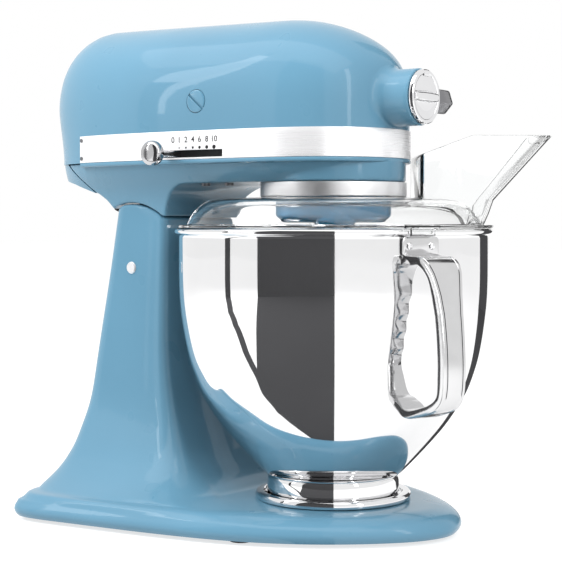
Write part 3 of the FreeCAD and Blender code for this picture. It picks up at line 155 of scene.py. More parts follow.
def frame_axes(axis):
    w = Vector(axis).normalized()
    ref = Vector((0, 0, 1)) if abs(w.z) < 0.9 else Vector((1, 0, 0))
    u = ref.cross(w).normalized()
    v = w.cross(u)
    return u, v, w


def revolve(name, prof, centre=(0, 0, 0), axis=(0, 0, 1), n=96, closed=True):
    """prof: (radius, height) along the axis. closed: the profile is a loop; otherwise its ends lie on the axis."""
    u, v, w = frame_axes(axis)
    c = Vector(centre)
    verts, faces, rows = [], [], []
    for r, h in prof:
        if r < 1e-6:
            rows.append([len(verts)])
            verts.append(tuple(c + w * h))
        else:
            rows.append(list(range(len(verts), len(verts) + n)))
            for i in range(n):
                a = 2 * math.pi * i / n
                verts.append(tuple(c + w * h + u * (r * math.cos(a)) + v * (r * math.sin(a))))
    pairs = list(zip(rows, rows[1:]))
    if closed:
        pairs.append((rows[-1], rows[0]))
    for a, b in pairs:
        if len(a) == 1 and len(b) == 1:
            continue
        for i in range(n):
            j = (i + 1) % n
            if len(a) == 1:
                faces.append((a[0], b[j], b[i]))
            elif len(b) == 1:
                faces.append((a[i], a[j], b[0]))
            else:
                faces.append((a[i], a[j], b[j], b[i]))
    return clean(make_obj(name, verts, faces))


def loft(name, rings, cap=True, closed_ring=True, close_rows=False):
    """rings: equal-length lists of points, skinned with quads; the two ends are capped."""
    n = len(rings[0])
    verts = [p for r in rings for p in r]
    faces = []
    m = len(rings)
    for i in range(m if close_rows else m - 1):
        a, b = i * n, ((i + 1) % m) * n
        for j in range(n if closed_ring else n - 1):
            k = (j + 1) % n
            faces.append((a + j, a + k, b + k, b + j))
    if cap and closed_ring and not close_rows:
        faces.append(tuple(range(n - 1, -1, -1)))
        faces.append(tuple(range((m - 1) * n, m * n)))
    return clean(make_obj(name, verts, faces))


def arc_pts(cx, cy, r, a0, a1, n):
    return [(cx + r * math.cos(math.radians(a0 + (a1 - a0) * i / n)), cy + r * math.sin(math.radians(a0 + (a1 - a0) * i / n)))
            for i in range(n + 1)]


def round_poly(pts, r, n=5):
    """Closed polygon with every corner rounded to r (or r as a list, one per corner)."""
    out = []
    m = len(pts)
    for i in range(m):
        p0, p1, p2 = Vector(pts[i - 1]), Vector(pts[i]), Vector(pts[(i + 1) % m])
        ri = r[i] if isinstance(r, (list, tuple)) else r
        a, b = (p0 - p1), (p2 - p1)
        if ri <= 0 or a.length < 1e-9 or b.length < 1e-9:
            out.append(tuple(p1))
            continue
        ang = a.angle(b)
        if ang > math.radians(178):
            out.append(tuple(p1))
            continue
        d = min(ri / math.tan(ang / 2), a.length * 0.49, b.length * 0.49)
        s, e = p1 + a.normalized() * d, p1 + b.normalized() * d
        for k in range(n + 1):
            t = k / n
            out.append(tuple((s * (1 - t) + p1 * t) * (1 - t) + (p1 * (1 - t) + e * t) * t))
    return out


def catmull(pts, per=6, closed=False):
    """Chordal Catmull-Rom through points of any dimension."""
    P = [np.array(p, float) for p in pts]
    n = len(P)
    out = []
    rng = range(n) if closed else range(n - 1)
    for i in rng:
        p1, p2 = P[i], P[(i + 1) % n]
        p0 = P[i - 1] if (closed or i > 0) else 2 * p1 - p2
        p3 = P[(i + 2) % n] if (closed or i + 2 < n) else 2 * p2 - p1
        t0, t1 = 0.0, max(1e-9, np.linalg.norm(p1 - p0)) ** 0.5
        t2 = t1 + max(1e-9, np.linalg.norm(p2 - p1)) ** 0.5
        t3 = t2 + max(1e-9, np.linalg.norm(p3 - p2)) ** 0.5
        for k in range(per):
            t = t1 + (t2 - t1) * k / per
            a1 = (t1 - t) / (t1 - t0) * p0 + (t - t0) / (t1 - t0) * p1
            a2 = (t2 - t) / (t2 - t1) * p1 + (t - t1) / (t2 - t1) * p2
            a3 = (t3 - t) / (t3 - t2) * p2 + (t - t2) / (t3 - t2) * p3
            b1 = (t2 - t) / (t2 - t0) * a1 + (t - t0) / (t2 - t0) * a2
            b2 = (t3 - t) / (t3 - t1) * a2 + (t - t1) / (t3 - t1) * a3
            out.append(tuple((t2 - t) / (t2 - t1) * b1 + (t - t1) / (t2 - t1) * b2))
    if not closed:
        out.append(tuple(P[-1]))
    return out


def cubic(xs, ys, q):
    """Natural cubic spline of rows ys (n, ...) at parameters xs, evaluated at q."""
    xs, ys, q = np.array(xs, float), np.array(ys, float), np.array(q, float)
    n = len(xs)
    shp = ys.shape[1:]
    y = ys.reshape(n, -1)
    h = np.diff(xs)
    A = np.zeros((n, n))
    B = np.zeros((n, y.shape[1]))
    A[0, 0] = A[-1, -1] = 1
    for i in range(1, n - 1):
        A[i, i - 1], A[i, i], A[i, i + 1] = h[i - 1], 2 * (h[i - 1] + h[i]), h[i]
        B[i] = 6 * ((y[i + 1] - y[i]) / h[i] - (y[i] - y[i - 1]) / h[i - 1])
    M = np.linalg.solve(A, B)
    k = np.clip(np.searchsorted(xs, q, side="right") - 1, 0, n - 2)
    d = (q - xs[k])[:, None]
    hk = h[k][:, None]
    r = y[k] + d * ((y[k + 1] - y[k]) / hk - hk * (2 * M[k] + M[k + 1]) / 6) + d ** 2 * M[k] / 2 + d ** 3 * (M[k + 1] - M[k]) / (6 * hk)
    return r.reshape((len(q),) + shp)


def prism_xz(name, pts, y0, y1):
    n = len(pts)
    verts = [(x, y0, z) for x, z in pts] + [(x, y1, z) for x, z in pts]
    faces = [tuple(range(n)), tuple(range(2 * n - 1, n - 1, -1))] + [(i, i + n, (i + 1) % n + n, (i + 1) % n) for i in range(n)]
    return clean(make_obj(name, verts, faces))


# ------------------------------------------------------------------ materials
def mat(name, color, metallic=0.0, rough=0.4, coat=0.0, coat_rough=0.03, ior=1.5, spec=0.5):
    m = bpy.data.materials.new(name)
    m.use_nodes = True
    b = m.node_tree.nodes["Principled BSDF"]
    b.inputs["Base Color"].default_value = (*color, 1)
    b.inputs["Metallic"].default_value = metallic
    b.inputs["Roughness"].default_value = rough
    b.inputs["IOR"].default_value = ior
    b.inputs["Coat Weight"].default_value = coat
    b.inputs["Coat Roughness"].default_value = coat_rough
    b.inputs["Specular IOR Level"].default_value = spec
    return m


def nd(m, kind, **kw):
    n = m.node_tree.nodes.new(kind)
    for k, v in kw.items():
        setattr(n, k, v)
    return n


def bsdf(m):
    return m.node_tree.nodes["Principled BSDF"]


def link(m, a, b):
    m.node_tree.links.new(a, b)


def noise(m, scale, detail=3.0, rough=0.5, stretch=None, obj_space=True):
    tc = nd(m, "ShaderNodeTexCoord")
    mp = nd(m, "ShaderNodeMapping")
    if stretch:
        mp.inputs["Scale"].default_value = stretch
    link(m, tc.outputs["Object"], mp.inputs["Vector"])
    n = nd(m, "ShaderNodeTexNoise")
    n.inputs["Scale"].default_value = scale
    n.inputs["Detail"].default_value = detail
    n.inputs["Roughness"].default_value = rough
    link(m, mp.outputs["Vector"], n.inputs["Vector"])
    return n


def ramp(m, src, stops):
    r = nd(m, "ShaderNodeValToRGB")
    e = r.color_ramp.elements
    while len(e) < len(stops):
        e.new(0.5)
    for k, (p, c) in enumerate(stops):
        e[k].position = p
        e[k].color = (*c, 1) if len(c) == 3 else c
    link(m, src, r.inputs["Fac"])
    return r


def bump(m, src, strength=0.1, dist=0.0002):
    b = nd(m, "ShaderNodeBump")
    b.inputs["Strength"].default_value = strength
    b.inputs["Distance"].default_value = dist
    link(m, src, b.inputs["Height"])
    link(m, b.outputs["Normal"], bsdf(m).inputs["Normal"])
    return b


def vary_color(m, n, a, b, lo=0.35, hi=0.65):
    r = ramp(m, n.outputs["Fac"], [(lo, a), (hi, b)])
    link(m, r.outputs["Color"], bsdf(m).inputs["Base Color"])


def vary_rough(m, n, a, b, lo=0.3, hi=0.7):
    mr = nd(m, "ShaderNodeMapRange")
    mr.inputs["From Min"].default_value = lo
    mr.inputs["From Max"].default_value = hi
    mr.inputs["To Min"].default_value = a
    mr.inputs["To Max"].default_value = b
    link(m, n.outputs["Fac"], mr.inputs["Value"])
    link(m, mr.outputs["Result"], bsdf(m).inputs["Roughness"])


def enamel(name, color, dark=0.93):
    m = mat(name, color, 0.0, 0.36, coat=0.4, coat_rough=0.035, spec=0.12)
    n = noise(m, 9.0, 2.0)
    c2 = tuple(c * dark for c in color)
    vary_color(m, n, c2, color)
    n2 = noise(m, 38.0, 2.0)
    vary_rough(m, n2, 0.27, 0.33)
    bump(m, n2.outputs["Fac"], 0.01, 0.0003)
    return m


BLUE = (0.086, 0.198, 0.282)
M_BODY = enamel("body_enamel", BLUE)
# painted light: the planetary's enamel is a lit copy of the body paint, set brighter and bluer than BLUE to stand in
# for how the planetary looks in shade at rest
M_PLANET_PAINTED_LIGHT = enamel("planetary_enamel_painted_light", (0.04, 0.25, 0.46))
M_CAP = mat("brush_cap_gloss", (0.068, 0.18, 0.265), 0, 0.28, coat=0.5, coat_rough=0.06)
bump(M_CAP, noise(M_CAP, 60.0).outputs["Fac"], 0.01, 0.0002)


def chrome(name, tint=(0.80, 0.80, 0.81), r0=0.03, r1=0.07, scale=60.0):
    m = mat(name, tint, 1.0, r0)
    n = noise(m, scale, 3.0)
    vary_rough(m, n, r0, r1)
    vary_color(m, n, tuple(c * 0.97 for c in tint), tint)
    return m


M_CHROME = chrome("polished_chrome")
M_BOWL = chrome("bowl_mirror_steel", (0.84, 0.84, 0.845), 0.018, 0.05, 30.0)
M_HANDLE = chrome("handle_polished_steel", (0.66, 0.66, 0.665), 0.10, 0.18, 90.0)
bump(M_HANDLE, noise(M_HANDLE, 700.0, 2.0, stretch=(1, 1, 0.08)).outputs["Fac"], 0.05, 0.00004)
M_BAND = mat("band_satin_silver", (0.80, 0.80, 0.81), 0.5, 0.38)
_n = noise(M_BAND, 240.0, 3.0, stretch=(0.04, 0.04, 6.0))
vary_rough(M_BAND, _n, 0.24, 0.36)
bump(M_BAND, _n.outputs["Fac"], 0.02, 0.00003)
M_SATIN = mat("satin_chrome", (0.88, 0.88, 0.89), 1.0, 0.42)
vary_rough(M_SATIN, noise(M_SATIN, 90.0), 0.38, 0.46)
M_PRINT = mat("scale_print", (0.012, 0.012, 0.013), 0, 0.7, spec=0.2)
vary_rough(M_PRINT, noise(M_PRINT, 500.0), 0.5, 0.7)
M_KNOB = chrome("dark_plated_knob", (0.24, 0.24, 0.25), 0.12, 0.22, 150.0)
M_BALL = chrome("ball_knob_plating", (0.50, 0.50, 0.51), 0.08, 0.14, 80.0)
M_LEVER = chrome("lever_steel", (0.60, 0.60, 0.61), 0.10, 0.22, 150.0)
# painted shade: near-black colour for the liner inside the speed slot, standing in for the shade in the recess
M_SLOT_PAINTED_SHADE = mat("slot_painted_shade", (0.012, 0.013, 0.014), 0, 0.5)
vary_rough(M_SLOT_PAINTED_SHADE, noise(M_SLOT_PAINTED_SHADE, 200.0), 0.45, 0.6)


def machined(name, tint, r0, r1):
    m = mat(name, tint, 1.0, r0)
    n = noise(m, 160.0, 4.0, stretch=(1, 1, 8))
    vary_rough(m, n, r0, r1)
    vary_color(m, n, tuple(c * 0.85 for c in tint), tint)
    bump(m, n.outputs["Fac"], 0.08, 0.00005)
    return m


M_STEEL = machined("machined_steel", (0.55, 0.55, 0.56), 0.2, 0.35)
M_SCREW = machined("zinc_screw", (0.22, 0.22, 0.23), 0.25, 0.4)
M_GEAR = machined("gear_steel", (0.34, 0.33, 0.32), 0.3, 0.45)
M_BRONZE = machined("bronze", (0.55, 0.38, 0.18), 0.25, 0.4)
M_ALU = machined("cast_aluminium", (0.6, 0.6, 0.61), 0.4, 0.6)
M_LAM = machined("laminations", (0.22, 0.22, 0.23), 0.45, 0.6)
M_COPPER = machined("copper_wire", (0.62, 0.30, 0.16), 0.3, 0.45)


def plastic(name, color, rough):
    m = mat(name, color, 0, rough)
    n = noise(m, 900.0, 2.0)
    bump(m, n.outputs["Fac"], 0.12, 0.0001)
    vary_rough(m, noise(m, 60.0), rough * 0.9, rough * 1.1)
    return m


M_BLACK = plastic("black_plastic", (0.02, 0.02, 0.021), 0.55)
M_CARBON = plastic("pressed_carbon", (0.015, 0.015, 0.015), 0.7)
M_BOARD = plastic("circuit_board", (0.02, 0.10, 0.05), 0.5)
M_COVERP = plastic("cover_plate", (0.30, 0.31, 0.32), 0.5)
M_RUBBER = plastic("soft_rubber", (0.018, 0.018, 0.019), 0.75)

M_CLEAR = mat("clear_moulded_plastic", (0.985, 0.99, 0.99), 0.0, 0.015, ior=1.40)
bsdf(M_CLEAR).inputs["Transmission Weight"].default_value = 1.0
_n = noise(M_CLEAR, 14.0, 1.0)
vary_rough(M_CLEAR, _n, 0.0, 0.02)

MAT_BY_SLOT = {
    "body_paint": M_BODY, "planetary_paint": M_PLANET_PAINTED_LIGHT, "brush_cap_plastic": M_CAP, "band_metal": M_BAND,
    "bright_chrome": M_CHROME, "bowl_steel": M_BOWL, "handle_steel": M_HANDLE, "lever_metal": M_LEVER,
    "knob_metal": M_KNOB, "lock_lever_metal": M_LEVER, "steel": M_STEEL, "screw_steel": M_SCREW,
    "gear_steel": M_GEAR, "wheel_bronze": M_BRONZE, "cast_aluminium": M_ALU, "lamination": M_LAM,
    "copper": M_COPPER, "black_plastic": M_BLACK, "carbon": M_CARBON, "board_green": M_BOARD,
    "cover_plastic": M_COVERP, "rubber_black": M_RUBBER, "clear_plastic": M_CLEAR,
}
SLOT_OF = {s["node"]: s["material_slot"] for s in frame["record"]["subparts"]}
for name, o in NODES.items():
    m = MAT_BY_SLOT[SLOT_OF[name]]
    if not o.material_slots:
        o.data.materials.append(m)
    for s in o.material_slots:
        s.material = m


def dress(o, material, body, slot, *nodes, angle=35.0):
    o.data.materials.clear()
    o.data.materials.append(material)
    if angle is not None:
        smooth(o, angle)
    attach(o, body)
    if nodes:
        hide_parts(*nodes)
    return o


# ------------------------------------------------------------------ pedestal
BASE_Z0, PLATFORM_Z = 3.0, 20.0
PIN_X, PIN_Z, PIN_R = -151.5, 181.3, 4.5
CHEEK_Y, COL_ARC_R, SEAM_Z = 15.8, 47.2, 218.5
BASE_HALF = [(97, 0), (94.5, 14), (87, 30), (74, 46), (58, 61), (39.5, 75), (20, 86.5),
             (0, 95.5), (-20, 102), (-45, 107.8), (-80, 113.4), (-110, 116.8), (-136, 119.4),
             (-162, 121.8), (-181, 123.0), (-194.0, 121.0), (-202.5, 113), (-206.5, 98),
             (-207.5, 66), (-207.5, 32), (-207.5, 0)]
BASE_CUTS = (0, 8, 15, 18, 20)
NF, NS, NC, NR = 10, 9, 5, 5
COLUMN = [(21.8, -56.0, -203.8, 104.0, 34.0, 26.0), (25.0, -64.0, -202.6, 97.0, 30.0, 25.0),
          (30.0, -72.0, -201.2, 88.0, 26.0, 23.0), (37.5, -80.0, -199.4, 78.0, 21.0, 21.0),
          (48.0, -89.5, -197.4, 68.5, 17.0, 19.0), (62.0, -98.5, -195.2, 60.2, 13.0, 16.0),
          (80.0, -107.5, -192.3, 53.0, 10.0, 14.0), (103.0, -114.3, -189.4, 48.6, 8.0, 12.0),
          (130.0, -118.2, -186.0, 45.6, 7.0, 11.0), (165.0, -119.6, -180.0, 43.4, 6.5, 10.0),
          (200.0, -119.8, -174.0, 42.4, 6.0, 10.0), (238.0, -119.8, -167.4, 42.0, 6.0, 10.0)]
BASE_RINGS = [(2.8, BASE_Z0), (0.9, 5.2), (0.0, 8.0), (0.9, 11.2), (3.6, 14.6), (8.2, 17.4), (15.0, 19.2), (23.0, 19.9)]


def smoothstep(t):
    t = min(1.0, max(0.0, t))
    return t * t * (3 - 2 * t)


def resample(pts, n):
    d = [0.0]
    for a, b in zip(pts, pts[1:]):
        d.append(d[-1] + math.hypot(b[0] - a[0], b[1] - a[1]))
    out = []
    for i in range(n + 1):
        t = d[-1] * i / n
        j = 0
        while j < len(d) - 2 and d[j + 1] < t:
            j += 1
        k = (t - d[j]) / max(1e-9, d[j + 1] - d[j])
        out.append((pts[j][0] + (pts[j + 1][0] - pts[j][0]) * k, pts[j][1] + (pts[j + 1][1] - pts[j][1]) * k))
    return out


def dense(pts, per=12):
    p = [(pts[1][0], -pts[1][1])] + list(pts) + [(pts[-2][0], -pts[-2][1])]
    out, marks = [], []
    for i in range(1, len(p) - 2):
        marks.append(len(out))
        for k in range(per):
            t = k / per
            a, b, c, d = p[i - 1], p[i], p[i + 1], p[i + 2]
            out.append(tuple(0.5 * ((2 * b[m]) + (-a[m] + c[m]) * t + (2 * a[m] - 5 * b[m] + 4 * c[m] - d[m]) * t * t
                                    + (-a[m] + 3 * b[m] - 3 * c[m] + d[m]) * t ** 3) for m in (0, 1)))
    marks.append(len(out))
    out.append(tuple(pts[-1]))
    return out, marks


def base_ring(inset):
    pts, marks = dense(BASE_HALF)
    n = len(pts)
    off = []
    for i, (x, y) in enumerate(pts):
        if i == 0:
            nx, ny = 1, 0
        elif i == n - 1:
            nx, ny = -1, 0
        else:
            dx, dy = pts[i + 1][0] - pts[i - 1][0], pts[i + 1][1] - pts[i - 1][1]
            L = math.hypot(dx, dy)
            nx, ny = dy / L, -dx / L
        off.append((x - nx * inset, max(0.0, y - ny * inset) if 0 < i < n - 1 else 0.0))
    c = [marks[k] for k in BASE_CUTS]
    half = []
    for (a, b), m in zip(((c[0], c[1]), (c[1], c[2]), (c[2], c[3]), (c[3], c[4])), (NF, NS, NC, NR)):
        half += resample(off[a:b + 1], m)[:-1]
    half.append(off[-1])
    return half


def column_ring(xf, xr, hw, rf, rr):
    def corner(cx, cy, r, a0, a1, n):
        return [(cx + r * math.cos(math.radians(a0 + (a1 - a0) * i / n)),
                 cy + r * math.sin(math.radians(a0 + (a1 - a0) * i / n))) for i in range(n + 1)]
    n1 = NF - 4
    half = [(xf, y) for y in [(hw - rf) * i / n1 for i in range(n1)]]
    half += corner(xf - rf, hw - rf, rf, 0, 90, 4)[:-1]
    half += resample([(xf - rf, hw), (xr + rr, hw)], NS)[:-1]
    half += corner(xr + rr, hw - rr, rr, 90, 180, NC)[:-1]
    half += resample([(xr, hw - rr), (xr, 0)], NR)
    return half


FLANK_BLEND = [smoothstep((i - 6) / 9.0) for i in range(NF + NS + NC + NR + 1)]


def pedestal_rings():
    rings = []
    for inset, z in BASE_RINGS:
        full, tight = base_ring(inset), base_ring(min(inset, 2.4 + 0.16 * inset))
        rings.append([(a[0] + (b[0] - a[0]) * w, a[1] + (b[1] - a[1]) * w, z) for a, b, w in zip(full, tight, FLANK_BLEND)])
    last = [(p[0], p[1]) for p in rings[-1]]
    foot = column_ring(*COLUMN[0][1:])
    for k, z in ((0.3, PLATFORM_Z), (0.6, PLATFORM_Z + 0.15), (0.85, PLATFORM_Z + 0.7)):
        rings.append([(a[0] + (b[0] - a[0]) * k, a[1] + (b[1] - a[1]) * k, z) for a, b in zip(last, foot)])
    for z, xf, xr, hw, rf, rr in COLUMN:
        rings.append([(x, y, z) for x, y in column_ring(xf, xr, hw, rf, rr)])
    return rings


def mirror_ring(h):
    return list(h) + [(x, -y, z) for x, y, z in reversed(h[1:-1])]


def soften_flanks(o, rounds=70):
    """Relax the points where the column runs down into the rim, away from the platform."""
    bm = bmesh.new()
    bm.from_mesh(o.data)
    sel = []
    for v in bm.verts:
        x, y, z = v.co.x * 1000 - S, abs(v.co.y) * 1000, v.co.z * 1000
        if 15.0 < z < 40.0 and x < 45 and y > 62 + 0.35 * (x + 40) or (15.0 < z < 40.0 and x < -178):
            sel.append(v)
    for _ in range(rounds):
        bmesh.ops.smooth_vert(bm, verts=sel, factor=0.5, use_axis_x=True, use_axis_y=True, use_axis_z=True)
    bm.to_mesh(o.data)
    bm.free()
    o.data.update()


def top_of_column(x):
    """Height of the saddle the head rocks in."""
    d = COL_ARC_R ** 2 - (x - PIN_X) ** 2
    arc = PIN_Z + math.sqrt(d) if d > 0 else PIN_Z
    xe = PIN_X + math.sqrt(COL_ARC_R ** 2 - (SEAM_Z - PIN_Z) ** 2)
    return SEAM_Z if x > xe else arc


def build_pedestal():
    rings = np.array(pedestal_rings())
    m = rings.shape[0]
    # rows by mean chord length, columns by their own chord, both cubic
    rowpar = [0.0]
    for i in range(1, m):
        rowpar.append(rowpar[-1] + max(0.6, float(np.mean(np.linalg.norm(rings[i] - rings[i - 1], axis=1)))) ** 0.5)
    full = np.array([mirror_ring([tuple(p) for p in r]) for r in rings])
    n = full.shape[1]
    ext = np.concatenate([full[:, -4:], full, full[:, :5]], axis=1)
    per = 4
    cols = cubic(np.arange(-4, n + 5), np.swapaxes(ext, 0, 1), np.arange(0, n * per) / per)
    cols = np.swapaxes(cols, 0, 1)
    last = m - 1
    q = []
    for i in range(last):
        k = 4 if i < 11 else 5
        q += [rowpar[i] + (rowpar[i + 1] - rowpar[i]) * j / k for j in range(k)]
    q = np.array(q + [rowpar[-1]])
    dense_rows = cubic(rowpar, cols, q)
    # stop each column of points at the saddle, with a rounded edge
    zs = dense_rows[:, :, 2].mean(axis=1)
    k0 = int(np.searchsorted(zs, 165.0))
    lower = [[tuple(p) for p in r] for r in dense_rows[:k0]]
    N = dense_rows.shape[1]
    E = 2.2
    upper = []
    steps = 14

    def at(j, z):
        col = dense_rows[:, j]
        return np.array([np.interp(z, col[k0 - 2:, 2], col[k0 - 2:, 0]), np.interp(z, col[k0 - 2:, 2], col[k0 - 2:, 1]), z])
    cx = float(np.mean([at(j, 200.0)[0] for j in range(N)]))
    tops = []
    for j in range(N):
        p = at(j, 200.0)
        z = top_of_column(p[0])
        for _ in range(4):
            p = at(j, min(z, 237.0))
            z = top_of_column(p[0])
        tops.append(z)
    for s in range(steps + 1):
        row = []
        for j in range(N):
            z0 = float(dense_rows[k0 - 1, j, 2])
            z1 = tops[j] - E
            row.append(tuple(at(j, z0 + (z1 - z0) * (s + 1) / (steps + 1))))
        upper.append(row)
    # inward normal in plan at the top
    T = np.array(upper[-1])
    tang = np.roll(T, -1, axis=0) - np.roll(T, 1, axis=0)
    nor = np.stack([-tang[:, 1], tang[:, 0]], axis=1)
    nor /= np.linalg.norm(nor, axis=1)[:, None]
    if np.mean(nor[:, 0] * (T[:, 0] - cx) + nor[:, 1] * T[:, 1]) > 0:
        nor = -nor
    for a in (18, 36, 54, 72, 90):
        c, s_ = math.cos(math.radians(a)), math.sin(math.radians(a))
        row = []
        for j in range(N):
            x, y = T[j, 0] + nor[j, 0] * E * (1 - c), T[j, 1] + nor[j, 1] * E * (1 - c)
            slope = 0.0
            z = T[j, 2] + E * s_
            if a == 90:
                z = top_of_column(x)
            row.append((x, y, z))
        upper.append(row)
    # the saddle itself: strips across from one flank to the other
    rows = lower + upper
    ped_rings = rows
    n2 = len(ped_rings[0])
    verts = [p for r in ped_rings for p in r]
    faces = []
    for i in range(len(ped_rings) - 1):
        a, b = i * n2, (i + 1) * n2
        for j in range(n2):
            k = (j + 1) % n2
            faces.append((a + j, a + k, b + k, b + j))
    faces.append(tuple(range(n2 - 1, -1, -1)))
    base = (len(ped_rings) - 1) * n2
    half = n2 // 2
    for j in range(half):
        a, b = base + j, base + j + 1
        c, d = base + (n2 - j) % n2, base + (n2 - j - 1) % n2
        f = []
        for v in (a, b, d, c):
            if v not in f:
                f.append(v)
        if len(f) > 2:
            faces.append(tuple(f))
    o = clean(make_obj("pedestal_shell", verts, faces))
    # slot between the cheeks
    boolean(o, box("t", -230, -128.0, -CHEEK_Y, CHEEK_Y, 172.0, 260))
    boolean(o, box("t", -171.0, -128.0, -CHEEK_Y, CHEEK_Y, 142.0, 200))
    boolean(o, box("t", -147.0, -131.0, 10, 60, 201.8, 208.2))
    # hollow underside with ribs, and the column's cavity
    h = [(x, y) for x, y in base_ring(6.0)]
    ring = h + [(x, -y) for x, y in reversed(h[1:-1])]
    cav = loft("t", [[(x, y, z) for x, y in ring] for z in (0.0, 14.5)])
    for b in (box("u", -205, 95, -2, 2, 4.0, 16), box("u", -60, -56, -110, 110, 4.0, 16)):
        boolean(cav, b)
    boolean(cav, revolve("u", [(27, 4.0), (31, 4.0), (31, 16), (27, 16)]))
    for x, y in ((66, 0), (-20, 82), (-20, -82), (-180, 96), (-180, -96)):
        boolean(cav, revolve("u", [(0, 3.0), (10, 3.0), (10, 17), (0, 17)], (x, y, 0), closed=False, n=40))
    boolean(o, cav)
    soften_flanks(o)
    return o


ped = build_pedestal()
dress(ped, M_BODY, "stand", "body_paint", "pedestal_casting", angle=42)


# ------------------------------------------------------------------ head
HEAD_XM, HEAD_XF, HEAD_XR = -100.0, 50.0, -246.0
HEAD_TAIL_N, HEAD_W, HEAD_Z0, HEAD_ZB = 2.3, 64.0, 259.2, 290.0
BAND_Z0, BAND_Z1, BAND_T = 259.4, 279.2, 0.8
HUB_Z, HUB_R, HUB_X1 = 300.0, 19.4, 71.5
SLOT_Z = 263.2
HEAD_GAP = 1.1


def head_top(x):
    if x < HEAD_XM:
        d = min(1.0, max(0.0, (x - HEAD_XR) / 54.0))
        return 307.0 + 55.0 * math.sqrt(max(0.0, 1.0 - (1.0 - d) ** 2)) - 3.0 * max(0.0, x + 196.0) / 160.0
    if x < -36.0:
        return 362.0 - 3.0 * (x + 196.0) / 160.0
    s = min(1.0, (x + 36.0) / (HEAD_XF + 36.0))
    return 320.5 + 38.5 * (1.0 - s * s) ** 0.70


def head_half_width(x):
    if x <= HEAD_XM:
        c = min(1.0, (HEAD_XM - x) / (HEAD_XM - HEAD_XR))
        return HEAD_W * max(0.0, 1.0 - c ** HEAD_TAIL_N) ** (1 / HEAD_TAIL_N)
    s = min(1.0, (x - HEAD_XM) / (HEAD_XF - HEAD_XM))
    return HEAD_W * math.sqrt(max(0.0, 1.0 - s ** 6))


def fine_stations():
    xs = [HEAD_XM - (HEAD_XM - HEAD_XR) * math.cos(math.radians(th)) for th in
          (0, 1.5, 3, 5, 7.5, 10, 13, 16, 19.5, 23, 27, 31, 35.5, 40, 45, 50, 55, 60, 65, 70, 75, 80, 85, 90)]
    for s in (.06, .12, .18, .24, .30, .36, .42, .47, .52, .57, .615, .66, .70, .74, .775, .81, .84, .865, .888, .91, .928,
              .944, .957, .968, .978, .985, .9912, .9962, .999, 1.0):
        xs.append(HEAD_XM + (HEAD_XF - HEAD_XM) * s)
    return xs


def head_bulge(x, z):
    if x >= HEAD_XM:
        return 0.0
    k = ((HEAD_XM - x) / (HEAD_XM - HEAD_XR)) ** 2
    t = min(1.0, max(0.0, (z - 262.0) / 45.0))
    t = t * t * (3 - 2 * t)
    return k * (3.0 - 6.0 * t)


PHIS = list(range(0, 60, 4)) + list(range(60, 84, 3)) + [84, 86, 88, 89, 90]


def head_section(x, z0):
    w, t = head_half_width(x), head_top(x)
    row = []
    for i in range(7):
        z = z0 + (HEAD_ZB - z0) * i / 7.0
        row.append((x + head_bulge(x, z), w, z))
    for ph in PHIS:
        a = math.radians(ph)
        f = (math.cos(a) ** 2) ** (1 / 1.9) if ph < 90 else 0.0
        q = (math.sin(a) ** 2) ** (1 / 2.9)
        z = HEAD_ZB + (t - HEAD_ZB) * q
        row.append((x + head_bulge(x, z), w * f, z))
    return row


def head_solid(name, z0):
    rings = []
    for x in fine_stations():
        h = head_section(x, z0)
        rings.append(h + [(a, -b, c) for a, b, c in reversed(h[:-1])])
    n = len(rings[0])
    verts = [p for r in rings for p in r]
    faces = []
    for i in range(len(rings) - 1):
        for j in range(n - 1):
            faces.append((i * n + j, i * n + j + 1, (i + 1) * n + j + 1, (i + 1) * n + j))
        faces.append((i * n, (i + 1) * n, (i + 1) * n + n - 1, i * n + n - 1))
    return clean(make_obj(name, verts, faces), 0.00002)


def seam_prism(name, grow):
    pts = [(-300, 200), (-209.0, 200), (-187.6, 236.2), (-247.0, 281.0), (-300, 321)]
    if grow:
        pts = [(x + grow * 0.62, z + grow * 0.78) if i in (1, 2, 3, 4) else (x, z) for i, (x, z) in enumerate(pts)]
    return prism_xz(name, pts, -95, 95)


def nose_x(y, z):
    """Station at which the nose surface stands at (y, z)."""
    lo, hi = 0.0, HEAD_XF
    for _ in range(40):
        x = (lo + hi) / 2
        w, t = head_half_width(x), head_top(x)
        if z <= HEAD_ZB:
            hw = w
        elif z >= t:
            hw = 0.0
        else:
            q = (z - HEAD_ZB) / (t - HEAD_ZB)
            s2 = q ** 2.9
            hw = w * (max(0.0, 1 - s2)) ** (1 / 1.9)
        if hw > abs(y):
            lo = x
        else:
            hi = x
    return lo


head = head_solid("head_shell", HEAD_Z0)
inner = head_solid("t", HEAD_Z0 - 6)
inner.data.transform(Matrix.Translation(Vector(W((-98, 0, 300)))) @ Matrix.Diagonal((0.978, 0.95, 0.93, 1)) @ Matrix.Translation(-Vector(W((-98, 0, 300)))))
boolean(head, inner)
boolean(head, seam_prism("t", 0.25))
boolean(head, box("t", -102.5, -49.0, -75, -50, SLOT_Z - 2.6, SLOT_Z + 2.6))
for s in (-1, 1):
    boolean(head, revolve("t", [(0, 0), (8.3, 0), (8.3, 30), (0, 30)], (-73, s * 50, 299.6), (0, s, 0), n=48, closed=False))
boolean(head, revolve("t", [(0, 0), (HUB_R - 1.0, 0), (HUB_R - 1.0, 60), (0, 60)], (20, 0, HUB_Z), (1, 0, 0), n=64, closed=False))
dress(head, M_BODY, "head", "body_paint", "motor_housing", angle=38)


